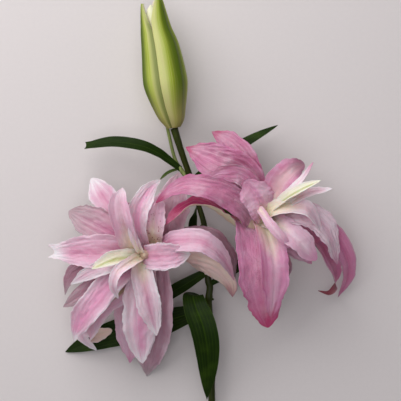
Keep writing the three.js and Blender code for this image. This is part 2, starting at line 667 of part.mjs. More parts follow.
addPiece('stem', stem, STEM_GREEN);
addPiece('bud', bud, BUD_GREEN);
addPiece('small_bud', smallBud, BUD_GREEN);
addPiece('left_bloom', leftBloom.petals, PALE_PINK);
addPiece('left_heart', leftBloom.heart, CREAM_GREEN);
addPiece('right_bloom', rightBloom.petals, DEEP_PINK);
addPiece('right_heart', rightBloom.heart, CREAM_GREEN);
for (const [name, leaf] of Object.entries(LEAVES)) {
  const blade = toSolid(bladeGeometry(leaf, LEAF_THICKNESS));
  addPiece(name, largestPiece(blade.subtract(stemRoom)), LEAF_GREEN);
}

const box = new THREE.Box3().setFromObject(lily);
const centre = box.getCenter(new THREE.Vector3());
lily.position.set(-centre.x, -centre.y, -box.min.z);
lily.updateMatrixWorld(true);

export default lily;
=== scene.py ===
"""The look of a cut double oriental lily that lies on its back.

Everything is modelled in millimetres from the fork of the stem, x to the right bloom, y along the
stem towards the buds, z up towards the viewer, and is then set down in the frame, in metres.
"""
import logging
import math
from bisect import bisect_right
from collections.abc import Callable
from dataclasses import dataclass
from enum import Enum

import bmesh
import bpy
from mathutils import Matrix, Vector, noise


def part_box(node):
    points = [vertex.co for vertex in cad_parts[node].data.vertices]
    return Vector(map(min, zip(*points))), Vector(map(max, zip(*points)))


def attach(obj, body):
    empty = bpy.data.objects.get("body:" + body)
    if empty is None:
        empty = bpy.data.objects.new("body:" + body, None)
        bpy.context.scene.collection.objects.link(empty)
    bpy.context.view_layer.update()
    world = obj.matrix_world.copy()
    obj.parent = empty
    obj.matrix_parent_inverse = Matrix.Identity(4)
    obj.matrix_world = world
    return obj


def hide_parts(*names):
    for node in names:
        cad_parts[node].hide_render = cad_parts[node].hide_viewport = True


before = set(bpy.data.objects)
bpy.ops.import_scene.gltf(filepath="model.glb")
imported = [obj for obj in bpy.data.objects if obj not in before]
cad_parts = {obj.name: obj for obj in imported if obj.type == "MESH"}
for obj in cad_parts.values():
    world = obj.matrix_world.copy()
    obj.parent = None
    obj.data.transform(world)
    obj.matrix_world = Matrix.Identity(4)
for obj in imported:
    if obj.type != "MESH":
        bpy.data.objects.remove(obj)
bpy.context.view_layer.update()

LOG = logging.getLogger("lily")
Point = tuple[float, float, float]
Colour = tuple[float, float, float]
Track = Vector | float

MILLIMETRE = 0.001
MAP = "blade"
BACK = "back"
TIP_BLUNTNESS = 0.04


def colour(red: int, green: int, blue: int) -> Colour:
    """A colour as the eye reads it, 0 to 255 a channel, turned into light.

    Args:
        red: red channel.
        green: green channel.
        blue: blue channel.

    Returns:
        The three channels as linear light.
    """
    shares = [channel / 255 for channel in (red, green, blue)]
    return tuple(s / 12.92 if s <= 0.04045 else ((s + 0.055) / 1.055) ** 2.4 for s in shares)


def smoothstep(share: float) -> float:
    """Eases a share from 0 to 1."""
    return share * share * (3 - 2 * share)


def bell(x: float, width: float) -> float:
    """A smooth bump, 1 high at 0 and falling off within a width."""
    return math.exp(-((x / width) ** 2))


def unevenness(x: float, y: float, seed: float) -> float:
    """Smooth unevenness from about -1 to 1."""
    return noise.noise(Vector((x, y, seed)))


# Shader maths --------------------------------------------------------------------------------


class Socket:
    """The output of a shader node, which takes part in Python arithmetic."""

    def __init__(self, paint: "Paint", output: bpy.types.NodeSocket) -> None:
        """Wraps an output of a node in paint."""
        self.paint = paint
        self.output = output

    def __add__(self, other: "Value") -> "Socket":
        """Sum."""
        return self.paint.math("ADD", self, other)

    def __sub__(self, other: "Value") -> "Socket":
        """Difference."""
        return self.paint.math("SUBTRACT", self, other)

    def __rsub__(self, other: "Value") -> "Socket":
        """Difference from a number."""
        return self.paint.math("SUBTRACT", other, self)

    def __mul__(self, other: "Value") -> "Socket":
        """Product."""
        return self.paint.math("MULTIPLY", self, other)

    __radd__ = __add__
    __rmul__ = __mul__


Value = Socket | float
Tint = Socket | Colour
Inputs = dict[str | int, Socket | float | tuple[float, ...]]


class Paint:
    """One procedural material, built node by node."""

    SLIP = (14, 9)

    def __init__(self, name: str) -> None:
        """Starts an empty material.

        Args:
            name: the material's name.
        """
        self.material = bpy.data.materials.new(name)
        self.material.use_nodes = True
        self.tree = self.material.node_tree
        self.tree.nodes.clear()

    def node(
        self, kind: str, inputs: Inputs, settings: dict[str, str] | None = None,
    ) -> bpy.types.Node:
        """Adds a node, its settings first and then its sockets.

        Args:
            kind: the node's type, without its "ShaderNode".
            inputs: values or links of its sockets.
            settings: its properties.

        Returns:
            The node.
        """
        node = self.tree.nodes.new(f"ShaderNode{kind}")
        for key, setting in (settings or {}).items():
            setattr(node, key, setting)
        for key, value in inputs.items():
            if isinstance(value, Socket):
                self.tree.links.new(value.output, node.inputs[key])
            else:
                node.inputs[key].default_value = value
        return node

    def read(
        self, output: str | int, kind: str, inputs: Inputs, settings: dict[str, str] | None = None,
    ) -> Socket:
        """One output of a new node."""
        return Socket(self, self.node(kind, inputs, settings).outputs[output])

    def math(self, operation: str, first: Value, second: Value = 0.0) -> Socket:
        """A Math node on one or two values."""
        return self.read(0, "Math", {0: first, 1: second}, {"operation": operation})

    def ease(self, value: Value, low: float, high: float) -> Socket:
        """A share that eases from 0 to 1 as a value goes from low to high."""
        sockets = {"Value": value, "From Min": low, "From Max": high}
        return self.read("Result", "MapRange", sockets, {"interpolation_type": "SMOOTHSTEP"})

    def place(self) -> Socket:
        """Where the shaded point is, in the object's own space."""
        return self.read("Object", "TexCoord", {})

    def split(self, vector: Socket) -> tuple[Socket, Socket]:
        """The x and the y of a vector."""
        node = self.node("SeparateXYZ", {0: vector})
        return Socket(self, node.outputs["X"]), Socket(self, node.outputs["Y"])

    def map(self) -> tuple[Socket, Socket]:
        """Shares of a blade from root to tip and from edge to edge, out of its own map."""
        return self.split(self.read("UV", "UVMap", {}, {"uv_map": MAP}))

    def blade(self) -> tuple[Socket, Socket, Socket]:
        """The map's shares, and how far from the midrib that is."""
        along, over = self.map()
        return along, over, self.math("ABSOLUTE", over * 2 - 1)

    def back(self) -> Socket:
        """1 on the lower side of a blade and 0 on its upper side."""
        return self.read("Fac", "Attribute", {}, {"attribute_name": BACK})

    def noise(self, scale: float, detail: float) -> Socket:
        """Noise from 0 to 1, with so many patches to the metre and so many octaves."""
        return self.read(
            0, "TexNoise", {"Vector": self.place(), "Scale": scale, "Detail": detail},
        )

    def streaks(self, scale: float, detail: float, stretch: Point) -> Socket:
        """The same noise, with a scale of its own for each axis."""
        place = self.read("Vector", "Mapping", {"Vector": self.place(), "Scale": stretch})
        return self.read(0, "TexNoise", {"Vector": place, "Scale": scale, "Detail": detail})

    def grain(self, along: float, across: float, detail: float) -> Socket:
        """Noise that is drawn out along a blade, from 0 to 1, and differs from blade to blade.

        Args:
            along: patches from root to tip.
            across: patches from edge to edge.
            detail: octaves.

        Returns:
            The noise.
        """
        u, v = self.map()
        x, y = self.split(self.place())
        slip = x * self.SLIP[0] + y * self.SLIP[1]
        spread = self.read("Vector", "CombineXYZ", {"X": u * along, "Y": v * across, "Z": slip})
        return self.read(0, "TexNoise", {"Vector": spread, "Scale": 1.0, "Detail": detail})

    def cells(self, scale: float) -> Socket:
        """Distance to the nearest of scattered points, with so many of them to the metre."""
        return self.read("Distance", "TexVoronoi", {"Vector": self.place(), "Scale": scale})

    def mix(self, share: Value, first: Tint, second: Tint) -> Socket:
        """A colour between two colours, with such a share of the second."""
        full = [end if isinstance(end, Socket) else (*end, 1.0) for end in (first, second)]
        return self.read(
            2, "Mix", {"Factor": share, 6: full[0], 7: full[1]}, {"data_type": "RGBA"},
        )

    def coats(self, ground: Tint, *coats: tuple[Value, Tint]) -> Tint:
        """Lays coats of colour over a ground, one after the other.

        Args:
            ground: what is under them.
            coats: how dense each coat is, and its colour.

        Returns:
            The colour of it all.
        """
        for share, tint in coats:
            ground = self.mix(share, ground, tint)
        return ground

    def bump(self, height: Socket, strength: float, depth: float) -> Socket:
        """A normal from a height of about 0 to 1, which is so deep in millimetres."""
        sockets = {"Strength": strength, "Distance": depth * MILLIMETRE, "Height": height}
        return self.read("Normal", "Bump", sockets)

    def finish(self, inputs: Inputs) -> bpy.types.Material:
        """Ends the material with its shader.

        Args:
            inputs: values or links of the shader's sockets.

        Returns:
            The material.
        """
        self.node("OutputMaterial", {"Surface": self.read("BSDF", "BsdfPrincipled", inputs)})
        return self.material


# Finishes ------------------------------------------------------------------------------------

WHITE = colour(244, 232, 238)
IVORY = colour(236, 230, 208)
BLUSH = colour(236, 204, 217)
PALE = colour(217, 172, 193)
ROSE = colour(202, 132, 164)
DEEP = colour(194, 104, 150)
PINK = colour(232, 148, 188)
HEATHER = colour(184, 112, 147)
ORCHID = colour(210, 136, 174)
MAGENTA = colour(174, 40, 98)
MAUVE = colour(184, 142, 160)
DUSK = colour(158, 116, 134)
TAUPE = colour(164, 146, 152)
SHELL = colour(214, 180, 180)
PEACH = colour(246, 212, 200)
CREAM = colour(236, 224, 190)
LIME = colour(168, 178, 96)
STRAW = colour(214, 212, 164)
RUST = colour(124, 50, 62)
WINE = colour(150, 74, 96)
FRECKLE = colour(150, 74, 84)

PETAL_BODY: Inputs = {
    "Subsurface Weight": 0.35, "Subsurface Radius": (1.0, 0.45, 0.5), "Subsurface Scale": 0.004,
    "Specular IOR Level": 0.35,
}
LEAF_BODY: Inputs = {"Specular IOR Level": 0.1}
STEM_BODY: Inputs = {"Specular IOR Level": 0.2}
BUD_BODY: Inputs = {
    "Subsurface Weight": 0.12, "Subsurface Radius": (0.5, 1.0, 0.3), "Subsurface Scale": 0.003,
    "Specular IOR Level": 0.22,
}


@dataclass(frozen=True)
class PetalFinish:
    """A petal's colours: its flesh, the deeper stripe along its midrib, its rims, its root, its
    tip and its outside. Then how far each of them reaches, and how dense the rest is."""

    flesh: Colour
    stripe: Colour
    rim: Colour
    root: Colour
    tip: Colour
    outside: Colour
    stripe_width: float = 0.55
    rim_from: float = 0.72
    root_to: float = 0.34
    tip_from: float = 0.84
    freckles: float = 0.0
    papillae: float = 0.0
    wrinkle: float = 0.65
    # painted_sheen: how dense the pale patches of painted sheen are, which stand in for light shining
    # off the petal
    painted_sheen: float = 0.16

    def make(self, name: str) -> bpy.types.Material:
        """Makes the material.

        Args:
            name: the material's name.

        Returns:
            The material.
        """
        paint = Paint(name)
        along, _, off = paint.blade()
        patches = paint.noise(60, 3) - 0.5
        fibres = paint.grain(2.2, 34, 3) - 0.5
        streaks = paint.grain(1.6, 9, 2) - 0.5
        crinkle = paint.noise(330, 3)

        stripe = 1 - paint.ease(off + streaks * 0.35 + patches * 0.45, 0.0, self.stripe_width)
        rim = paint.ease(off + streaks * 0.25 + patches * 0.5, self.rim_from, 1.1)
        ragged = along + streaks * 0.12 + patches * 0.25 + off * 0.22
        root = 1 - paint.ease(ragged, self.root_to * 0.3, self.root_to + 0.12)
        tip = paint.ease(along + streaks * 0.25 + patches * 0.1, self.tip_from, 1.0)
        veins = paint.ease(fibres, 0.02, 0.22)
        pale_veins = paint.ease(-1 * fibres, 0.04, 0.24)

        face = paint.coats(
            self.flesh, (stripe * 0.75, self.stripe), (rim * (along * 0.5 + 0.4), self.rim),
            (root, self.root), (tip * 0.9, self.tip), (veins * 0.2, self.stripe),
            (pale_veins * 0.2, WHITE),
        )
        if self.freckles:
            spots = 1 - paint.ease(paint.cells(300), 0.14, 0.26)
            zone = (1 - paint.ease(along, 0.5, 0.8)) * (1 - paint.ease(off, 0.6, 0.9))
            face = paint.mix(spots * zone * self.freckles, face, FRECKLE)
        if self.papillae:
            dots = 1 - paint.ease(paint.cells(620), 0.15, 0.45)
            zone = (1 - paint.ease(along, 0.55, 0.9)) * paint.ease(patches + streaks, -0.15, 0.15)
            face = paint.mix(dots * zone * self.papillae, face, FRECKLE)
        outside = paint.coats(
            self.outside, (veins * 0.3 + stripe * 0.2, self.stripe), (rim * 0.5, self.rim),
            (tip * 0.8, self.tip),
        )
        # Painted sheen: pale white patches laid over both faces, standing in for light shining off the
        # petal
        sheen_clouds = paint.ease(paint.noise(70, 4) + streaks * 0.3 - 0.5, -0.12, 0.34)
        skin = paint.coats(face, (paint.back(), outside), (sheen_clouds * self.painted_sheen, WHITE))
        normal = paint.bump(fibres * 0.5 + streaks * 0.5 + crinkle * 0.8, self.wrinkle, 0.9)
        rough = crinkle * 0.3 + 0.36
        return paint.finish({"Base Color": skin, "Roughness": rough, "Normal": normal, **PETAL_BODY})


@dataclass(frozen=True)
class LeafFinish:
    """Waxy leaf with fine parallel veins, a paler midrib, pale thin edges and pale patches of painted
    sheen.
    """

    body: Colour
    dark: Colour
    vein_and_sheen: Colour
    back: Colour

    VEINS = 8
    # How dense the pale patches of painted sheen are, which stand in for light shining off the wax
    SHEEN_PAINT = 0.35
    RIB = (0.018, 0.096)

    def make(self, name: str) -> bpy.types.Material:
        """Makes the material.

        Args:
            name: the material's name.

        Returns:
            The material.
        """
        paint = Paint(name)
        along, over, off = paint.blade()
        patches = paint.noise(45, 3)
        fine = paint.noise(600, 2)
        fibres = paint.grain(2, 40, 3)
        lines = paint.math("SINE", over * (2 * math.pi * self.VEINS) + fibres * 2)
        veins = paint.ease(lines, 0.4, 1.0)
        rib = 1 - paint.ease(off, *self.RIB)
        skin = paint.coats(
            self.body, (patches, self.dark),
            # Painted sheen: paler patches in the vein colour
            (paint.ease(patches, 0.45, 0.75) * self.SHEEN_PAINT, self.vein_and_sheen),
            (veins * 0.14 + paint.ease(fibres, 0.5, 0.8) * 0.2, self.vein_and_sheen),
            (rib * 0.4 * (1 - along), self.vein_and_sheen), (paint.ease(off, 0.93, 1.0) * 0.35, self.vein_and_sheen),
            (paint.back(), self.back),
        )
        height = veins * 0.3 + fibres * 0.9 + fine * 0.25 - rib * 0.8
        normal = paint.bump(height, 0.5, 0.5)
        rough = fine * 0.2 + 0.36
        return paint.finish({"Base Color": skin, "Roughness": rough, "Normal": normal, **LEAF_BODY})


@dataclass(frozen=True)
class StemFinish:
    """Green stem with pale streaks and small pores."""

    body: Colour
    dark: Colour
    streak: Colour

    STRETCH = (1.0, 0.06, 1.0)

    def make(self, name: str) -> bpy.types.Material:
        """Makes the material.

        Args:
            name: the material's name.

        Returns:
            The material.
        """
        paint = Paint(name)
        streaks = paint.streaks(300, 3, self.STRETCH)
        pores = 1 - paint.ease(paint.cells(500), 0.1, 0.35)
        skin = paint.coats(
            self.body, (paint.noise(30, 2), self.dark),
            (paint.ease(streaks, 0.45, 0.8) * 0.6, self.streak), (pores * 0.35, self.dark),
        )
        normal = paint.bump(streaks + pores * 0.4, 0.4, 0.4)
        rough = streaks * 0.3 + 0.3
        return paint.finish({"Base Color": skin, "Roughness": rough, "Normal": normal, **STEM_BODY})


@dataclass(frozen=True)
class BudFinish:
    """Outer tepal of a closed bud: green, paler to its edges, with long fine streaks and a band of
    painted shade along one edge.
    """

    body: Colour
    edge: Colour
    rib: Colour
    root: Colour
    tip: Colour
    inside: Colour
    # groove: how dense the painted shade is in the band along the edge that the next tepal overlaps
    groove: float = 0.7

    def make(self, name: str) -> bpy.types.Material:
        """Makes the material.

        Args:
            name: the material's name.

        Returns:
            The material.
        """
        paint = Paint(name)
        along, over, off = paint.blade()
        patches = paint.noise(40, 3) - 0.5
        fine = paint.noise(500, 2)
        fibres = paint.grain(2, 60, 3) - 0.5
        broad = paint.grain(1.5, 12, 2) - 0.5
        # Painted shade: a darker band in the rib colour near one edge, where the next tepal overlaps
        # this one; it fades out towards the tip
        groove = paint.ease(over + broad * 0.06, 0.8, 0.95) * (1 - paint.ease(along, 0.8, 0.95))
        skin = paint.coats(
            self.body, (paint.ease(fibres, -0.1, 0.25) * 0.45, self.edge),
            (paint.ease(broad + patches * 0.5, 0.0, 0.3) * 0.4, self.rib),
            (paint.ease(off + broad * 0.3, 0.45, 0.8) * 0.8, self.edge),
            ((1 - paint.ease(off + broad * 0.2, 0.08, 0.56)) * 0.95, self.rib),
            ((1 - paint.ease(along + broad * 0.1, 0.02, 0.34)) * 0.65, self.root),
            (groove * self.groove, self.rib), (paint.ease(along, 0.84, 1.0) * 0.6, self.tip),
            (paint.back(), self.inside),
        )
        normal = paint.bump(fibres * 0.8 + fine * 0.4, 0.45, 0.5)
        rough = fine * 0.2 + 0.36
        return paint.finish({"Base Color": skin, "Roughness": rough, "Normal": normal, **BUD_BODY})


@dataclass(frozen=True)
class FloorFinish:
    """Plain pale floor with a faint grain."""

    body: Colour = colour(216, 210, 210)
    grain: Colour = colour(202, 197, 198)

    def make(self, name: str) -> bpy.types.Material:
        """Makes the material.

        Args:
            name: the material's name.

        Returns:
            The material.
        """
        paint = Paint(name)
        skin = paint.mix(paint.noise(260, 3) * 0.3, self.body, self.grain)
        return paint.finish({"Base Color": skin, "Roughness": 0.85})


class Tone(Enum):
    """The finishes of the petals."""

    PINK_RIBBED = PetalFinish(PALE, ROSE, WHITE, PALE, WHITE, PALE, tip_from=0.78)
    WHITE_EDGED = PetalFinish(BLUSH, PINK, WHITE, BLUSH, WHITE, PALE, 0.6)
    VIVID = PetalFinish(PALE, PINK, WHITE, MAUVE, WHITE, PALE, 0.8)
    CREAM_ROOTED = PetalFinish(BLUSH, ROSE, WHITE, CREAM, WHITE, PALE, root_to=0.5)
    CREAM_INSIDE = PetalFinish(PALE, MAUVE, PALE, CREAM, BLUSH, PALE, root_to=0.62, painted_sheen=0.25)
    BLUSHED = PetalFinish(PALE, ROSE, PALE, ROSE, ROSE, PEACH, rim_from=0.82, painted_sheen=0.25)
    PALE_SLIM = PetalFinish(BLUSH, PALE, WHITE, PALE, WHITE, PALE, rim_from=0.5)
    WHITE_TIPPED = PetalFinish(PALE, ROSE, BLUSH, PALE, WHITE, PALE, 0.8, tip_from=0.76)
    # Painted shade in part: the greyer taupe tip and the dusky mauve flesh are partly the petal's own
    # colour and partly stand in for the shade it lies in
    TAUPE_TIPPED = PetalFinish(MAUVE, HEATHER, TAUPE, PALE, TAUPE, MAUVE, tip_from=0.5)
    FRECKLED = PetalFinish(PALE, MAUVE, BLUSH, CREAM, PALE, MAUVE, root_to=0.62, freckles=1.0)
    SOFT_MAUVE = PetalFinish(MAUVE, MAUVE, BLUSH, DUSK, TAUPE, MAUVE)
    DUSKY = PetalFinish(DUSK, DUSK, MAUVE, DUSK, TAUPE, DUSK)
    PEACH_BACKED = PetalFinish(PALE, ROSE, PALE, ROSE, WINE, PEACH, tip_from=0.76, painted_sheen=0.2)
    GREEN_RIBBED = PetalFinish(PALE, LIME, WHITE, ROSE, PEACH, PEACH, 0.2)
    MAGENTA_TIPPED = PetalFinish(
        HEATHER, ROSE, DEEP, PALE, MAGENTA, DUSK, tip_from=0.86, papillae=0.3, wrinkle=0.9,
        painted_sheen=0.28,
    )
    MAGENTA_BOAT = PetalFinish(MAGENTA, MAGENTA, DEEP, CREAM, MAGENTA, CREAM)
    CREAM_STREAKED = PetalFinish(
        ORCHID, ROSE, DEEP, PALE, MAGENTA, DUSK, root_to=0.2, tip_from=0.64, papillae=0.4,
        wrinkle=0.9, painted_sheen=0.22,
    )
    ROSE_RIMMED = PetalFinish(
        ORCHID, PALE, DEEP, CREAM, MAGENTA, MAUVE, 0.6, root_to=0.46, wrinkle=0.5, painted_sheen=0.2,
    )
    LILAC = PetalFinish(BLUSH, PALE, PALE, CREAM, ROSE, ROSE, wrinkle=0.9, painted_sheen=0.3)
    CREAM_LILAC = PetalFinish(
        PALE, BLUSH, PALE, CREAM, ORCHID, MAUVE, root_to=0.46, tip_from=0.72, wrinkle=0.7,
        painted_sheen=0.2,
    )
    ORCHID_PLAIN = PetalFinish(ORCHID, DEEP, MAUVE, DUSK, DEEP, DEEP, wrinkle=0.9)
    # Painted shade in part: the dark rust outside and tip are partly the tepal's own colour and partly
    # stand in for the shade under the petals that cover it
    RUST_BACKED = PetalFinish(ORCHID, HEATHER, PALE, DUSK, RUST, RUST, wrinkle=0.9)
    STANDING = PetalFinish(
        ORCHID, SHELL, ORCHID, CREAM, DUSK, MAUVE, 0.8, 0.7, 0.45, 0.7, painted_sheen=0.25,
    )
    THROAT_SIDE = PetalFinish(
        PALE, ORCHID, ORCHID, CREAM, HEATHER, MAUVE, 0.5, 0.6, 0.46, 0.6, papillae=0.3, painted_sheen=0.2,
    )
    MAUVE_PLAIN = PetalFinish(HEATHER, ORCHID, MAUVE, PALE, HEATHER, MAUVE, painted_sheen=0.28)
    CREAM_GREEN = PetalFinish(IVORY, LIME, WHITE, CREAM, IVORY, STRAW, 0.34, 0.5, 0.3)
    CREAM_PALE = PetalFinish(BLUSH, PALE, WHITE, CREAM, WHITE, BLUSH, root_to=0.7)
    PINK_TIPPED = PetalFinish(WHITE, BLUSH, BLUSH, CREAM, ROSE, BLUSH, tip_from=0.7)


class PlainTone(Enum):
    """The finishes of leaves, stems, buds and floor."""

    LEAF = LeafFinish(colour(28, 50, 5), colour(9, 20, 1), colour(64, 92, 18), colour(44, 64, 14))
    YOUNG_LEAF = LeafFinish(
        colour(70, 92, 30), colour(52, 70, 22), colour(112, 132, 58), colour(84, 104, 42),
    )
    STEM = StemFinish(colour(50, 60, 10), colour(28, 34, 4), colour(72, 84, 22))
    STALK = StemFinish(colour(124, 136, 74), colour(92, 104, 50), colour(170, 176, 112))
    THROAT = StemFinish(colour(206, 184, 160), colour(180, 150, 136), colour(226, 210, 180))
    BUD = BudFinish(
        colour(154, 170, 48), colour(204, 202, 140), colour(72, 92, 5), colour(166, 154, 96),
        colour(120, 136, 46), colour(226, 222, 196),
    )
    BUD_HEART = BudFinish(
        colour(214, 214, 178), colour(230, 228, 204), colour(186, 192, 136), colour(150, 144, 80),
        colour(232, 230, 210), colour(226, 222, 196), groove=0.0,
    )
    FLOOR = FloorFinish()


class Palette:
    """The materials made so far, one for each finish."""

    def __init__(self) -> None:
        """Starts with none."""
        self.made: dict[Enum, bpy.types.Material] = {}

    def of(self, tone: Enum) -> bpy.types.Material:
        """The material of a tone, made when it is first asked for.

        Args:
            tone: the finish.

        Returns:
            Its material.
        """
        if tone not in self.made:
            self.made[tone] = tone.value.make(tone.name.lower())
        return self.made[tone]


# Forms ---------------------------------------------------------------------------------------

Spots = dict[bmesh.types.BMVert, tuple[Vector, float, float]]


class Cubic:
    """A smooth run through evenly spaced values, which are places or plain numbers."""

    def __init__(self, values: tuple[Track, ...]) -> None:
        """Adds a value beyond each end, so that the run leaves and arrives straight."""
        self.control = [2 * values[0] - values[1], *values, 2 * values[-1] - values[-2]]
        self.spans = len(values) - 1

    def read(self, t: float) -> tuple[Track, Track]:
        """Value and slope.

        Args:
            t: from 0 at the first value to 1 at the last.

        Returns:
            The value there, and how fast it changes.
        """
        index = min(int(t * self.spans), self.spans - 1)
        x = t * self.spans - index
        before, start, end, after = self.control[index:index + 4]
        leave = (end - before) / 2
        arrive = (after - start) / 2
        value = (
            start * (2 * x**3 - 3 * x**2 + 1) + leave * (x**3 - 2 * x**2 + x)
            + end * (3 * x**2 - 2 * x**3) + arrive * (x**3 - x**2)
        )
        slope = (
            (start - end) * (6 * x**2 - 6 * x) + leave * (3 * x**2 - 4 * x + 1)
            + arrive * (3 * x**2 - 2 * x)
        )
        return value, slope


class Spine:
    """A smooth curve through given points, read by its share of length."""

    DIVISIONS = 200

    def __init__(self, points: tuple[Point, ...]) -> None:
        """Lays the curve through the points.

        Args:
            points: places in millimetres.
        """
        self.curve = Cubic(tuple(Vector(point) for point in points))
        places = [self.curve.read(k / self.DIVISIONS)[0] for k in range(self.DIVISIONS + 1)]
        self.lengths = [0.0]
        for before, after in zip(places, places[1:]):
            self.lengths.append(self.lengths[-1] + (after - before).length)

    def parameter(self, u: float) -> float:
        """Where a share of the length lies if each span between two points counts the same.

        Args:
            u: share of the curve's length.

        Returns:
            Share of the spans.
        """
        wanted = u * self.lengths[-1]
        index = min(bisect_right(self.lengths, wanted), self.DIVISIONS) - 1
        span = self.lengths[index + 1] - self.lengths[index]
        return (index + (wanted - self.lengths[index]) / span) / self.DIVISIONS

    def at(self, u: float) -> tuple[Vector, Vector]:
        """Point and unit direction at a share of the length."""
        point, slope = self.curve.read(self.parameter(u))
        return point, slope.normalized()

    def value(self, samples: tuple[float, ...], u: float) -> float:
        """A number that is given at each of the curve's points, read between them.

        Args:
            samples: the number at each point.
            u: share of the curve's length.

        Returns:
            The number there.
        """
        place = self.parameter(u) * self.curve.spans
        index = min(int(place), self.curve.spans - 1)
        return samples[index] + (samples[index + 1] - samples[index]) * (place - index)


@dataclass(frozen=True)
class Row:
    """The cross-section of a blade at one share of its length."""

    centre: Vector
    up: Vector
    across: Vector
    half: float
    fold: float

    def place(self, v: float, rise: float, lift: float) -> Vector:
        """A point of the blade.

        Args:
            v: from -1 at one edge to 1 at the other.
            rise: how far the middle surface is raised there.
            lift: how far the point lies out of the upper face.

        Returns:
            The point in millimetres.
        """
        angle = self.fold * v
        outward = self.up * math.cos(angle) - self.across * math.sin(angle)
        sideways = self.half * math.sin(angle) / self.fold
        raised = self.half * (1 - math.cos(angle)) / self.fold + rise
        return self.centre + self.across * sideways + self.up * raised + outward * lift


@dataclass(frozen=True)
class Ruffle:
    """Waves of a blade's edges: their height in millimetres and how many there are."""

    height: float = 0.0
    waves: int = 1

    REACH = 3.0
    FADE = 0.6
    FAR_EDGE_PHASE = 1.9

    def lift(self, u: float, v: float) -> float:
        """How far the waves lift the surface.

        Args:
            u: share of the length.
            v: from -1 at one edge to 1 at the other.

        Returns:
            The lift in millimetres.
        """
        swing = math.sin(2 * math.pi * self.waves * u + (0.0 if v > 0 else self.FAR_EDGE_PHASE))
        fade = max(math.sin(math.pi * u), 0.0) ** self.FADE
        return self.height * swing * abs(v) ** self.REACH * fade


@dataclass(frozen=True)
class Ripple:
    """Smooth unevenness: how often it changes along and across a blade, and its own seed.

    slant: how often it also changes along the blade as one goes across it.
    """

    along: float
    across: float
    seed: float
    slant: float = 0.0

    def at(self, u: float, v: float, seed: int) -> float:
        """The unevenness at a place of a blade that has a seed of its own."""
        return unevenness(u * self.along + v * self.slant, v * self.across, seed * self.seed)


@dataclass(frozen=True)
class Relief:
    """The finer form of a blade, in millimetres for one that is 30 wide.

    The midrib's groove and its width, long pleats, broad swells, sharp creases, frilled and
    crimped edges, frayed edges, a twist, a drawn-out point, and how thin the rim is.
    """

    groove: float = 0.8
    groove_width: float = 0.1
    pleat: float = 1.1
    swell: float = 1.3
    crease: float = 0.9
    frill: float = 2.6
    crimp: float = 1.0
    fray: float = 0.13
    twist: float = 0.35
    point: float = 0.3
    rim_share: float = 0.4

    MEASURE = 30
    PLEATS = Ripple(1.6, 4.2, 5.3)
    CREASES = Ripple(9, 3.4, 8.9, slant=1.5)
    CREASE_SHAPE = (0.3, 2)
    SWELLS = Ripple(3.1, 1.3, 7.7)
    FRILLS = Ripple(7, 1, 3.3)
    CRIMPS = Ripple(21, 1, 6.1)
    RIM_ROW = 3
    TWISTS = Ripple(1.9, 1, 2.3)
    TWIST_ROW = 4.4
    TWIST_GAIN = 4
    FRAYS = ((1.0, Ripple(5, 1, 1.7)), (0.6, Ripple(15, 1, 2.9)), (0.4, Ripple(38, 1, 4.1)))
    FRAY_ROW = 2
    TIP_FRAY = 1.5
    BODY = (0.03, 1.01)

    def ragged(self, u: float, v: float, seed: int) -> float:
        """How much further out or in an edge lies.

        Args:
            u: share of the length.
            v: from -1 at one edge to 1 at the other.
            seed: the blade's own number.

        Returns:
            A share of the half width.
        """
        edge = math.copysign(self.FRAY_ROW, v)
        frayed = sum(share * ripple.at(u, edge, seed) for share, ripple in self.FRAYS)
        return abs(v) * self.fray * (frayed * (1 + self.TIP_FRAY * u**4))

    def height(self, u: float, v: float, seed: int) -> float:
        """Height of groove, pleats, creases, swells, frills and crimps.

        Args:
            u: share of the length.
            v: from -1 at one edge to 1 at the other.
            seed: the blade's own number.

        Returns:
            The height, for a blade of the measured width.
        """
        root, pace = self.BODY
        body = max(math.sin(math.pi * min(root + u * pace, 1.0)), 0.0)
        edge = math.copysign(self.RIM_ROW, v)
        groove = -self.groove * bell(v, self.groove_width) * body**0.5
        pleat = self.pleat * self.PLEATS.at(u, v, seed) * body**0.5
        high, deep = self.CREASE_SHAPE
        crease = self.crease * (high - abs(self.CREASES.at(u, v, seed)) * deep) * body**0.5
        swell = self.swell * self.SWELLS.at(u, v, seed) * body
        frill = self.frill * self.FRILLS.at(u, edge, seed) * abs(v) ** 2.5
        crimp = self.crimp * self.CRIMPS.at(u, edge, seed) * abs(v) ** 4
        tilt = self.twist * v * self.TWISTS.at(u, self.TWIST_ROW, seed) * self.TWIST_GAIN
        return groove + pleat + crease + swell + (frill + crimp + tilt) * body**0.7


PLAIN_RELIEF = Relief()
FOLDED_RELIEF = Relief(groove=1.8, groove_width=0.14, pleat=1.2, swell=2.4)
CALM_RELIEF = Relief(groove=0.4, groove_width=0.16, pleat=0.4, crease=0.5, swell=1.8)
CRUMPLED_RELIEF = Relief(pleat=0.9, crease=1.7, swell=2.2, crimp=1.5, frill=3.2)
LEAF_RELIEF = Relief(
    groove=0.6, groove_width=0.07, pleat=0.2, swell=0.5, crease=0.0, frill=0.5, crimp=0.1,
    fray=0.02, twist=0.1, point=0.1,
)


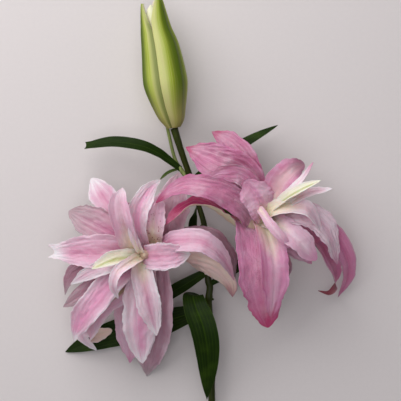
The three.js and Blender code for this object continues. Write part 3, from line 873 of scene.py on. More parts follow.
@dataclass(frozen=True)
class Blade:
    """A petal or a leaf.

    width: at its widest. spine: points from its root to its tip. faces: which way its upper face
    looks, from root to tip. cup: how far each half folds up, in degrees, at the root and at the
    tip. belly: where it is widest. claw: width at the root, as a share of the width. tip: below
    1 rounder, above 1 more pointed. blunt: width of the tip's end. notch: how deep the end is
    notched, as a share of the length.
    """

    name: str
    tone: Enum
    width: float
    spine: tuple[Point, ...]
    faces: tuple[Point, ...]
    cup: tuple[float, float]
    belly: float = 0.5
    claw: float = 0.4
    tip: float = 0.75
    ruffle: Ruffle = Ruffle()
    blunt: float = TIP_BLUNTNESS
    notch: float = 0.0
    relief: Relief = PLAIN_RELIEF

    THICKNESS = 1.0
    ROWS = 72
    COLUMNS = 32
    COARSE_ROWS = 7
    ROOT_SPREAD = 1.25
    RIM_CROWDING = 0.3
    CLAW_SWELL = 1.2
    TIP_TAPER = 2.1
    NOTCH_POWER = 6
    POINT_POWER = 12

    def outline(self, u: float) -> float:
        """Half-width, as a share of the widest.

        Args:
            u: share of the length.

        Returns:
            The share.
        """
        if u < self.belly:
            rise = math.sin(math.pi / 2 * u / self.belly) ** self.CLAW_SWELL
            return self.claw + (1 - self.claw) * rise
        past = min((u - self.belly) / (1 - self.belly), 1.0)
        return max((1 - past**self.TIP_TAPER) ** self.tip, self.blunt)

    def facing(self, u: float) -> Vector:
        """Which way the upper face looks, before it is squared to the spine.

        Args:
            u: share of the length.

        Returns:
            The direction.
        """
        directions = [Vector(face).normalized() for face in self.faces]
        place = u * (len(directions) - 1)
        index = min(int(place), len(directions) - 2)
        return directions[index].lerp(directions[index + 1], smoothstep(place - index))

    def row(self, spine: Spine, u: float) -> Row:
        """One cross-section.

        Args:
            spine: the blade's curve.
            u: share of its length.

        Returns:
            The cross-section.
        """
        centre, along = spine.at(u)
        up = self.facing(u)
        up = (up - along * up.dot(along)).normalized()
        fold = math.radians(self.cup[0] + (self.cup[1] - self.cup[0]) * u)
        return Row(centre, up, along.cross(up), self.width / 2 * self.outline(u), fold)

    def coarse_box(self) -> tuple[Vector, Vector]:
        """Corners of the box round the blade's coarse form, its root left out.

        Returns:
            Lowest and highest corner.
        """
        spine = Spine(self.spine)
        places = []
        for step in range(2, self.COARSE_ROWS + 1):
            u = step / self.COARSE_ROWS
            row = self.row(spine, u)
            for v in (-1, 0, 1):
                for side in (-1, 1):
                    places.append(row.place(v, self.ruffle.lift(u, v), side * self.THICKNESS / 2))
        low, high = ([pick(place[axis] for place in places) for axis in range(3)] for pick in (min, max))
        return Vector(low), Vector(high)

    def build(self, seed: int) -> bmesh.types.BMesh:
        """Shapes a thin slab into the blade.

        Args:
            seed: makes its unevenness its own.

        Returns:
            The closed mesh, with its map and which side each vertex is on.
        """
        bm = slab(self.COLUMNS, self.ROWS)
        back = bm.verts.layers.float.new(BACK)
        spine = Spine(self.spine)
        relief = self.relief
        rows: dict[float, Row] = {}
        spots: Spots = {}
        for vertex in bm.verts:
            step = round((vertex.co.y + 1) / 2 * self.ROWS)
            u = 1 - (1 - step / self.ROWS) ** self.ROOT_SPREAD
            t = vertex.co.x
            v = t * (1 + self.RIM_CROWDING * (1 - t * t))
            share = u - self.notch * (1 - v * v) * u**self.NOTCH_POWER
            if share not in rows:
                rows[share] = self.row(spine, share)
            side = 1 if vertex.co.z > 0 else -1
            size = self.width / relief.MEASURE
            rise = self.ruffle.lift(u, v) + size * relief.height(u, v, seed)
            thin = 1 - (1 - relief.rim_share) * max(v * v, u**4)
            reach = 1 + relief.ragged(u, v, seed) - relief.point * u**self.POINT_POWER
            vertex[back] = 0.0 if side > 0 else 1.0
            place = rows[share].place(v * reach, rise, side * self.THICKNESS / 2 * thin)
            spots[vertex] = (place, u, v)
        settle(bm, spots)
        return bm


@dataclass(frozen=True)
class Petal(Blade):
    """A petal or an outer tepal."""


@dataclass(frozen=True)
class HeartPetal(Blade):
    """A thick narrow petal of a bloom's heart."""

    THICKNESS = 1.4


@dataclass(frozen=True)
class Leaf(Blade):
    """A leaf."""

    relief: Relief = LEAF_RELIEF

    THICKNESS = 0.9



def slab(columns: int, rows: int) -> bmesh.types.BMesh:
    """A flat thin slab, 2 by 2 wide, with faces on both sides and a closed rim.

    Args:
        columns: faces along x.
        rows: faces along y.

    Returns:
        The mesh, with z above 0 on its upper side and below 0 on its lower one.
    """
    bm = bmesh.new()
    bmesh.ops.create_grid(bm, x_segments=columns, y_segments=rows, size=1)
    bmesh.ops.solidify(bm, geom=bm.faces[:], thickness=0.2)
    middle = sum(vertex.co.z for vertex in bm.verts) / len(bm.verts)
    bmesh.ops.translate(bm, verts=bm.verts, vec=(0, 0, -middle))
    bmesh.ops.recalc_face_normals(bm, faces=bm.faces[:])
    return bm


def settle(bm: bmesh.types.BMesh, spots: Spots) -> None:
    """Moves each vertex to its place and writes its shares to the map.

    Args:
        bm: the mesh.
        spots: each vertex's place, its share u of the length, and v from -1 to 1 across.
    """
    layer = bm.loops.layers.uv.new(MAP)
    for face in bm.faces:
        for loop in face.loops:
            _, u, v = spots[loop.vert]
            loop[layer].uv = (u, (v + 1) / 2)
    for vertex, (place, _, _) in spots.items():
        vertex.co = place


def carried_frames(spine: Spine, steps: int) -> list[tuple[Vector, Vector, Vector]]:
    """Centre, normal and binormal at each step, with as little turning as can be.

    Args:
        spine: the axis.
        steps: how many.

    Returns:
        One more than steps of them.
    """
    frames = []
    normal = None
    for step in range(steps + 1):
        centre, along = spine.at(step / steps)
        start = normal or along.orthogonal()
        normal = (start - along * start.dot(along)).normalized()
        frames.append((centre, normal, along.cross(normal)))
    return frames


def close_holes(bm: bmesh.types.BMesh) -> None:
    """Closes the open ends of a tube and points all faces outward.

    Args:
        bm: the tube.
    """
    rims = [edge for edge in bm.edges if edge.is_boundary]
    caps = bmesh.ops.holes_fill(bm, edges=rims)["faces"]
    if caps:
        bmesh.ops.triangulate(bm, faces=caps)
    bmesh.ops.recalc_face_normals(bm, faces=bm.faces[:])


def wrap(
    spine: Spine, steps: int, sides: int, radius: Callable[[float, float], float],
) -> bmesh.types.BMesh:
    """Wraps a grid round an axis and closes its ends.

    Args:
        spine: the axis.
        steps: faces along it.
        sides: faces round it.
        radius: the radius in millimetres at a share of the length and an angle.

    Returns:
        The closed mesh, with its map.
    """
    bm = bmesh.new()
    bmesh.ops.create_grid(bm, x_segments=sides, y_segments=steps, size=1)
    frames = carried_frames(spine, steps)
    spots: Spots = {}
    for vertex in bm.verts:
        step = round((vertex.co.y + 1) / 2 * steps)
        centre, normal, binormal = frames[step]
        angle = math.pi * vertex.co.x
        spoke = normal * math.cos(angle) + binormal * math.sin(angle)
        place = centre + spoke * radius(step / steps, angle)
        spots[vertex] = (place, step / steps, vertex.co.x)
    settle(bm, spots)
    bmesh.ops.remove_doubles(bm, verts=bm.verts[:], dist=0.001)
    close_holes(bm)
    return bm


@dataclass(frozen=True)
class Tube:
    """A stem or a stalk: points of its axis, with its radius at each, and where it is knuckled."""

    name: str
    tone: Enum
    points: tuple[Point, ...]
    radii: tuple[float, ...]
    knuckles: tuple[float, ...] = ()

    SIDES = 24
    STEP = 1.6
    FEWEST_STEPS = 6
    RIDGES = 5
    RIDGE = 0.04
    DRIFT = 4
    KNUCKLE = 0.15
    KNUCKLE_SHARE = 0.008

    def build(self) -> bmesh.types.BMesh:
        """Makes the closed tube.

        Returns:
            Its mesh.
        """
        spine = Spine(self.points)
        steps = max(self.FEWEST_STEPS, round(spine.lengths[-1] / self.STEP))

        def radius(u: float, angle: float) -> float:
            """The ridged and knuckled radius.

            Args:
                u: share of the length.
                angle: round the axis.

            Returns:
                The radius in millimetres.
            """
            girth = 1 + self.RIDGE * math.cos(self.RIDGES * angle + self.DRIFT * u)
            for place in self.knuckles:
                girth += self.KNUCKLE * bell(u - place, self.KNUCKLE_SHARE)
            return spine.value(self.radii, u) * girth

        return wrap(spine, steps, self.SIDES, radius)


@dataclass(frozen=True)
class Egg:
    """A swollen base that petals grow from: its middle and its half sizes."""

    at: Point
    size: Point

    SEGMENTS = (36, 20)
    RIDGES = 6
    RIDGE = 0.05

    def build(self) -> bmesh.types.BMesh:
        """Shapes a sphere into a ridged egg.

        Returns:
            Its mesh.
        """
        bm = bmesh.new()
        round_it, up_it = self.SEGMENTS
        bmesh.ops.create_uvsphere(bm, u_segments=round_it, v_segments=up_it, radius=1)
        for vertex in bm.verts:
            turn = math.atan2(vertex.co.y, vertex.co.x)
            flat = math.hypot(vertex.co.x, vertex.co.y)
            girth = 1 + self.RIDGE * flat * (math.cos(self.RIDGES * turn) - 1)
            vertex.co = Vector((vertex.co.x * girth, vertex.co.y * girth, vertex.co.z))
        bmesh.ops.scale(bm, verts=bm.verts, vec=self.size)
        bmesh.ops.translate(bm, verts=bm.verts, vec=self.at)
        return bm


# Pieces --------------------------------------------------------------------------------------


@dataclass(frozen=True)
class Part:
    """A node of the frame, hidden once the pieces that replace it are made, and a material slot name,
    which is not used.
    """

    node: str
    slot: str


STEM_PART = Part("stem", "stem_green")
BUD_PART = Part("bud", "bud_green")
SMALL_BUD_PART = Part("small_bud", "bud_green")


class Workbench:
    """Turns meshes in millimetres into finished pieces in the frame."""

    def __init__(self, shift: Vector) -> None:
        """Starts with no materials.

        Args:
            shift: from the modelled place to the frame, in millimetres.
        """
        self.shift = shift
        self.palette = Palette()
        self.count = 0

    def finish(self, bm: bmesh.types.BMesh, name: str, tone: Enum, part: Part) -> None:
        """Makes an object of a mesh, dresses it and ties it to the frame.

        Args:
            bm: the mesh, which is used up.
            name: the piece's name.
            tone: its finish.
            part: what it stands for.
        """
        bmesh.ops.translate(bm, verts=bm.verts, vec=self.shift)
        bmesh.ops.scale(bm, verts=bm.verts, vec=(MILLIMETRE,) * 3)
        for vertex in bm.verts:
            vertex.co.z = max(vertex.co.z, 0.0)
        for face in bm.faces:
            face.smooth = True
        obj = placed(name, bm)
        obj.data.materials.append(self.palette.of(tone))
        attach(obj, "root")
        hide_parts(part.node)
        self.count += 1
        LOG.info("%s: %d faces", name, len(obj.data.polygons))


def placed(name: str, bm: bmesh.types.BMesh) -> bpy.types.Object:
    """Makes an object of a mesh and puts it into the scene.

    Args:
        name: its name.
        bm: the mesh, which is used up.

    Returns:
        The object.
    """
    mesh = bpy.data.meshes.new(name)
    bm.to_mesh(mesh)
    bm.free()
    obj = bpy.data.objects.new(name, mesh)
    bpy.context.scene.collection.objects.link(obj)
    return obj


@dataclass
class Bloom:
    """A double bloom: its receptacle, its petals and the narrow petals of its heart."""

    name: str
    slot: str
    receptacle: Egg
    petals: tuple[Petal, ...]
    heart_core: Egg
    heart: tuple[HeartPetal, ...]

    HEART_SEED = 50

    def build(self, bench: Workbench) -> None:
        """Builds all of its pieces.

        Args:
            bench: where they are made.
        """
        bloom = Part(f"{self.name}_bloom", self.slot)
        heart = Part(f"{self.name}_heart", "heart_cream")
        self._group(bench, bloom, ("receptacle", self.receptacle), self.petals, 0)
        self._group(bench, heart, ("heart_core", self.heart_core), self.heart, self.HEART_SEED)

    def _group(
        self, bench: Workbench, part: Part, base: tuple[str, Egg], blades: tuple[Blade, ...],
        seed: int,
    ) -> None:
        """Builds a base and the blades that grow from it.

        Args:
            bench: where they are made.
            part: what they stand for.
            base: its name and its form.
            blades: the blades.
            seed: the first blade's number.
        """
        name, egg = base
        bench.finish(egg.build(), f"{self.name}_{name}", PlainTone.THROAT, part)
        for number, blade in enumerate(blades, seed):
            bench.finish(blade.build(number), f"{self.name}_{blade.name}", blade.tone, part)


@dataclass
class Foliage:
    """The leaves."""

    leaves: tuple[Leaf, ...]

    SEED = 80

    def build(self, bench: Workbench) -> None:
        """Builds every leaf.

        Args:
            bench: where they are made.
        """
        for seed, leaf in enumerate(self.leaves, self.SEED):
            node = f"leaf_{leaf.name}"
            bench.finish(leaf.build(seed), f"{node}_blade", leaf.tone, Part(node, "leaf_green"))


@dataclass
class Stem:
    """The main stem, with its slanting cut end, and the stalks that branch off it."""

    main: Tube
    branches: tuple[Tube, ...]
    slant: float = 35.0
    trim: float = 6.0

    def build(self, bench: Workbench) -> None:
        """Builds stem and stalks.

        Args:
            bench: where they are made.
        """
        bench.finish(self._cut(self.main.build()), self.main.name, self.main.tone, STEM_PART)
        for branch in self.branches:
            bench.finish(branch.build(), branch.name, branch.tone, STEM_PART)

    def _cut(self, bm: bmesh.types.BMesh) -> bmesh.types.BMesh:
        """Cuts the lower end off on a slant and closes it.

        Args:
            bm: the whole stem.

        Returns:
            The same mesh, cut.
        """
        turn = math.radians(self.slant)
        slant = Vector((0, math.cos(turn), math.sin(turn)))
        place = Vector(self.main.points[-1]) + Vector((0, self.trim, 0))
        bmesh.ops.bisect_plane(
            bm, geom=bm.verts[:] + bm.edges[:] + bm.faces[:], plane_co=place, plane_no=slant,
            clear_inner=True, dist=0.0001,
        )
        close_holes(bm)
        return bm


@dataclass
class Bud:
    """The large bud: a body wrapped in three outer tepals whose tips stand apart."""

    axis: tuple[Point, ...]
    radii: tuple[float, ...]
    tepals: tuple[tuple[float, float], ...] = ((45, 1), (-75, 0.9), (165, 0.95))
    thickness: float = 2.4
    swell: float = 0.8
    half_angle: float = 60
    narrows_from: float = 0.76
    narrowing: tuple[float, float] = (1.3, 0.8)
    core_inset: float = 1.2
    core_end: tuple[Point, ...] = ((-47.5, 229, 47), (-48.6, 236, 47.5))
    core_end_radii: tuple[float, ...] = (5.6, 0.8)
    rib: tuple[float, float] = (0.7, 0.09)
    groove: tuple[float, float, float] = (-0.4, 0.08, 0.22)
    bend: float = 0.7

    ROWS = 90
    COLUMNS = 32
    BENDS = Ripple(4, 2, 9.1)
    BODY = (0.02, 0.96)

    def build(self, bench: Workbench) -> None:
        """Builds body and tepals.

        Args:
            bench: where they are made.
        """
        radii = [radius - self.core_inset for radius in self.radii[:-2]]
        radii[-1] -= self.thickness
        axis = (*self.axis[:-2], *self.core_end)
        core = Tube("bud_core", PlainTone.BUD_HEART, axis, (*radii, *self.core_end_radii))
        bench.finish(core.build(), core.name, core.tone, BUD_PART)
        for seed, (rib_angle, tip_at) in enumerate(self.tepals):
            bm = self._tepal(rib_angle, tip_at, seed)
            bench.finish(bm, f"bud_tepal_{seed + 1}", PlainTone.BUD, BUD_PART)

    def _tepal(self, rib_angle: float, tip_at: float, seed: int) -> bmesh.types.BMesh:
        """Shapes a slab into an outer tepal that wraps a third of the bud.

        Args:
            rib_angle: where its midrib runs, in degrees round the axis.
            tip_at: how far up the axis it ends.
            seed: makes its unevenness its own.

        Returns:
            The closed mesh.
        """
        spine = Spine(self.axis)
        radii = Cubic(self.radii)
        bm = slab(self.COLUMNS, self.ROWS)
        back = bm.verts.layers.float.new(BACK)
        taper, roundness = self.narrowing
        spots: Spots = {}
        for vertex in bm.verts:
            share = (vertex.co.y + 1) / 2
            v = vertex.co.x
            t = tip_at * share
            past = max(0.0, (share - self.narrows_from) / (1 - self.narrows_from))
            narrow = max(max(1 - past**taper, 0.0) ** roundness, TIP_BLUNTNESS)
            centre, along = spine.at(t)
            front = (Vector((0, 0, 1)) - along * along.z).normalized()
            side = along.cross(front)
            angle = math.radians(rib_angle + self.half_angle * narrow * v)
            spoke = front * math.cos(angle) + side * math.sin(angle)
            radius = radii.read(spine.parameter(t))[0]
            if vertex.co.z > 0:
                radius += self.swell * (1 - v * v) + self._relief(share, v, seed)
            else:
                radius -= self.thickness
                vertex[back] = 1.0
            spots[vertex] = (centre + spoke * radius, share, v)
        settle(bm, spots)
        bmesh.ops.recalc_face_normals(bm, faces=bm.faces[:])
        return bm

    def _relief(self, share: float, v: float, seed: int) -> float:
        """Height of midrib, side grooves and unevenness of a tepal.

        Args:
            share: of its length.
            v: from -1 at one edge to 1 at the other.
            seed: the tepal's number.

        Returns:
            The height in millimetres.
        """
        root, pace = self.BODY
        fade = math.sin(math.pi * min(share * pace + root, 1.0)) ** 0.5
        height, width = self.rib
        depth, gap, at = self.groove
        bend = self.bend * self.BENDS.at(share, v, seed) * (1 - v * v)
        return fade * (height * bell(v, width) + depth * bell(abs(v) - at, gap) + bend)


@dataclass
class SmallBud:
    """The small bud under the large one, pressed a little flat where it lies."""

    axis: tuple[Point, ...]
    radii: tuple[float, ...]
    ribs: int = 6
    rib: float = 0.03

    STEPS = 40
    SIDES = 36

    def build(self, bench: Workbench) -> None:
        """Builds the bud.

        Args:
            bench: where it is made.
        """
        spine = Spine(self.axis)
        radii = Cubic(self.radii)

        def radius(u: float, angle: float) -> float:
            """The ribbed radius at a share of the length and an angle."""
            girth = 1 + self.rib * (math.cos(self.ribs * angle) - 1)
            return radii.read(spine.parameter(u))[0] * girth

        bm = wrap(spine, self.STEPS, self.SIDES, radius)
        bench.finish(bm, "small_bud_body", PlainTone.BUD, SMALL_BUD_PART)


@dataclass(frozen=True)
class Lamp:
    """A soft square light: its place and side in metres, its power in watts and its tint."""

    name: str
    at: Point
    size: float
    power: float
    tint: Colour

    def hang(self) -> None:
        """Hangs it so that it looks at the flower."""
        lamp = bpy.data.lights.new(self.name, "AREA")
        lamp.size = self.size
        lamp.energy = self.power
        lamp.color = self.tint
        obj = bpy.data.objects.new(self.name, lamp)
        obj.location = self.at
        obj.rotation_euler = (-Vector(self.at)).to_track_quat("-Z", "Y").to_euler()
        bpy.context.scene.collection.objects.link(obj)


@dataclass
class Studio:
    """Floor, lamps, pale room and camera."""

    shift: Vector
    lamps: tuple[Lamp, ...] = (
        Lamp("key", (-0.5, 0.8, 0.85), 1.5, 18.5, (1.0, 0.985, 0.97)),
        Lamp("top", (-0.15, -0.35, 2.2), 1.2, 10.5, (0.99, 0.985, 1.0)),
    )
    floor_size: float = 6.0
    room_colour: Colour = colour(226, 224, 230)
    room_strength: float = 0.22
    viewpoint: Point = (1.5, 39.5, 1655)
    lens: float = 143.64
    sensor: float = 36
    sight: float = 20

    def build(self, bench: Workbench) -> None:
        """Sets the studio up.

        Args:
            bench: where the floor gets its finish.
        """
        bm = bmesh.new()
        bmesh.ops.create_grid(bm, x_segments=8, y_segments=8, size=self.floor_size / 2)
        floor = placed("floor", bm)
        floor.data.materials.append(bench.palette.of(PlainTone.FLOOR))
        for lamp in self.lamps:
            lamp.hang()
        self._room()
        self._camera()

    def _room(self) -> None:
        """Pale light from all round."""
        world = bpy.data.worlds.new("room")
        world.use_nodes = True
        back = world.node_tree.nodes["Background"]
        back.inputs["Color"].default_value = (*self.room_colour, 1.0)
        back.inputs["Strength"].default_value = self.room_strength
        bpy.context.scene.world = world
        bpy.context.scene.view_settings.view_transform = "Standard"

    def _camera(self) -> None:
        """Looks straight down on the flower."""
        camera = bpy.data.cameras.new("camera")
        camera.sensor_width = self.sensor
        camera.lens = self.lens
        camera.clip_end = self.sight
        obj = bpy.data.objects.new("camera", camera)
        obj.location = (Vector(self.viewpoint) + self.shift) * MILLIMETRE
        bpy.context.scene.collection.objects.link(obj)
        bpy.context.scene.camera = obj


# The lily's own measures ---------------------------------------------------------------------

LEFT_PETALS = (
    Petal(
        "tepal_low", Tone.SOFT_MAUVE, 46,
        ((-43, -10, 32), (-44, -30, 46), (-47, -70, 46), (-50, -110, 24), (-54, -142, 0.5)),
        ((-0.2, 0.5, 1), (-0.1, -0.1, 1)), (35, 10), belly=0.45, claw=0.35, tip=0.9,
    ),
    Petal(
        "tepal_low_left", Tone.BLUSHED, 38,
        ((-43, -10, 32), (-54, -32, 44), (-67, -75, 38), (-71, -127, 14)),
        ((-0.2, 0.4, 1), (-0.3, -0.2, 1)), (35, 8), claw=0.35,
    ),
    Petal(
        "tepal_right_rear", Tone.DUSKY, 24,
        ((-41, -8, 32), (-10, 4, 45), (15, 0, 50), (33, -22, 40), (37, -42, 26)),
        ((0.1, 0.5, 1), (0.6, 0.5, 0.6)), (30, 10),
    ),
    Petal(
        "tepal_recurved", Tone.PEACH_BACKED, 27,
        ((-41, -11, 32), (-14, -20, 48), (6, -25, 60), (18, -32, 58), (29, -44, 48), (34, -58, 36)),
        ((0, 0.3, 1), (0.15, 0.6, -0.75), (0.5, 0.35, -0.75)), (30, 20), claw=0.5,
    ),
    Petal(
        "tepal_upper_right", Tone.SOFT_MAUVE, 36,
        ((-43, -8, 33), (-32, 8, 42), (-26, 35, 47), (-20, 68, 43)),
        ((-0.4, -0.2, 1), (0, 0.2, 1)), (30, 8),
    ),
    Petal(
        "tepal_top", Tone.DUSKY, 24,
        ((-42, -7, 32), (-60, 12, 42), (-78, 32, 40), (-86, 49, 30)),
        ((0, -0.4, 1), (-0.3, 0.3, 1)), (25, 5),
    ),
    Petal(
        "tepal_left", Tone.DUSKY, 20,
        ((-42, -10, 28), (-80, -20, 45), (-118, -28, 42), (-132, -40, 32), (-137, -57, 20)),
        ((0.3, -0.2, 1), (-0.8, -0.1, 0.6)), (25, 10), belly=0.55,
    ),
    Petal(
        "tepal_curled", Tone.GREEN_RIBBED, 26,
        (
            (-42, -12, 30), (-70, -45, 56), (-98, -66, 56), (-114, -88, 40), (-107, -98, 24),
            (-89, -93, 18),
        ),
        ((0.2, 0.2, 1), (-0.3, -0.6, 0.7), (0, -0.4, -1)), (25, 30), belly=0.6, tip=0.42,
    ),
    Petal(
        "tepal_twisted", Tone.PALE_SLIM, 19,
        ((-44, -12, 30), (-80, -50, 38), (-108, -85, 30), (-119, -98, 25), (-105, -114, 17)),
        ((0.2, 0.2, 1), (-0.6, -0.3, 0.8)), (25, 20), belly=0.7, claw=0.5, tip=0.6,
    ),
    Petal(
        "petal_long", Tone.WHITE_EDGED, 37,
        ((-46, -14, 36), (-56, -35, 62), (-58, -75, 62), (-57, -125, 40)),
        ((0, 0.5, 1), (0, -0.1, 1)), (30, 12), belly=0.55, ruffle=Ruffle(1.2, 3),
    ),
    Petal(
        "petal_foremost", Tone.CREAM_ROOTED, 25,
        ((-50, -15, 48), (-57, -26, 72), (-51, -55, 78), (-42, -95, 64)),
        ((-0.1, 0.5, 1), (0.1, 0.1, 1)), (35, 15), belly=0.55, claw=0.45, ruffle=Ruffle(1.2, 3),
    ),
    Petal(
        "petal_short", Tone.PINK_RIBBED, 28,
        ((-50, -13, 48), (-52, -16, 70), (-30, -15, 84), (-8, -13, 78)),
        ((-1, 0, 0.6), (0.1, 0.1, 1)), (40, 15), belly=0.6, claw=0.45, ruffle=Ruffle(1, 3),
    ),
    Petal(
        "petal_recurved", Tone.BLUSHED, 25,
        ((-46, -10, 42), (-25, -1, 74), (0, -1, 84), (14, -8, 82), (26, -21, 72), (35, -40, 60)),
        ((-0.3, 0.3, 1), (0.5, 0.4, 0.8)), (30, 15), belly=0.45, claw=0.5,
    ),
    Petal(
        "petal_upper_right", Tone.WHITE_EDGED, 21,
        ((-52, -8, 52), (-60, 10, 74), (-59, 32, 82), (-49, 50, 80), (-38, 60, 76)),
        ((-0.2, -0.5, 1), (0.3, 0, 1)), (35, 20), belly=0.6, claw=0.45,
    ),
    Petal(
        "petal_freckled", Tone.FRECKLED, 25,
        ((-45, -8, 42), (-46, 8, 60), (-44, 28, 62), (-38, 46, 56)),
        ((-0.4, -0.3, 1), (-0.1, 0, 1)), (30, 10), claw=0.6,
    ),
    Petal(
        "petal_rolled", Tone.CREAM_INSIDE, 24,
        ((-52, -14, 50), (-65, -8, 76), (-73, 15, 94), (-77, 36, 96), (-75, 52, 88)),
        ((-0.2, -0.8, 0.6), (-0.1, 0, 1)), (50, 50), belly=0.7, claw=0.5, tip=0.6,
    ),
    Petal(
        "petal_upper_left", Tone.PINK_RIBBED, 27,
        ((-42, -7, 34), (-64, 12, 52), (-88, 33, 51), (-109, 62, 38)),
        ((0.2, -0.3, 1), (-0.2, 0.2, 1)), (30, 20), belly=0.68, tip=0.6,
    ),
    Petal(
        "petal_taupe_tip", Tone.TAUPE_TIPPED, 35,
        ((-42, -5, 38), (-70, 0, 63), (-100, 14, 62), (-131, 29, 44)),
        ((0.3, -0.1, 1), (-0.4, 0.3, 1)), (30, 15), belly=0.6, tip=0.6,
    ),
    Petal(
        "petal_white_tip", Tone.WHITE_TIPPED, 33,
        ((-50, -12, 45), (-72, -10, 70), (-103, -11, 74), (-130, -11.5, 64), (-151, -12, 54)),
        ((0.3, 0, 1), (-0.3, 0, 1)), (30, 20), belly=0.55, tip=0.8, ruffle=Ruffle(1.3, 3),
        blunt=0.5, notch=0.06,
    ),
    Petal(
        "petal_slim", Tone.PALE_SLIM, 16,
        ((-52, -15, 50), (-78, -21, 78), (-103, -29, 76), (-128, -44, 62)),
        ((0.3, 0.2, 1), (-0.3, -0.2, 1)), (30, 20), belly=0.55, claw=0.45,
    ),
    Petal(
        "petal_lower_rear", Tone.TAUPE_TIPPED, 21,
        ((-48, -13, 42), (-78, -28, 62), (-108, -48, 58), (-137, -68, 42)),
        ((0.3, 0.2, 1), (-0.4, -0.2, 1)), (25, 15), belly=0.6, claw=0.45,
    ),
    Petal(
        "petal_lower_front", Tone.VIVID, 28,
        ((-50, -15, 46), (-78, -34, 70), (-104, -62, 70), (-121, -86, 56), (-126, -102, 44)),
        ((0.2, 0.3, 1), (-0.5, -0.2, 0.9)), (30, 20), belly=0.6, ruffle=Ruffle(1.6, 3),
    ),
)
LEFT_HEART = (
    HeartPetal(
        "heart_boat", Tone.CREAM_GREEN, 19,
        ((-54, -15, 60), (-66, -16, 79), (-84, -19, 93), (-104, -27, 104)),
        ((0.3, 0.2, 0.6), (0.3, 0.8, 0.7)), (60, 60), belly=0.6, claw=0.5,
    ),
    HeartPetal(
        "heart_strap", Tone.CREAM_PALE, 12,
        ((-54, -14, 60), (-66, -20, 92), (-78.5, -29, 102), (-83.5, -43, 99), (-79, -57, 87)),
        ((0.3, 0.3, 1), (-0.3, 0.1, 1)), (40, 30), claw=0.8,
    ),
    HeartPetal(
        "heart_strip", Tone.CREAM_PALE, 8,
        ((-54, -13, 60), (-58, -10, 80), (-65, 8, 92), (-67, 28, 96)),
        ((-0.3, -0.5, 1), (0.2, -0.1, 1)), (40, 20), claw=0.8,
    ),
)
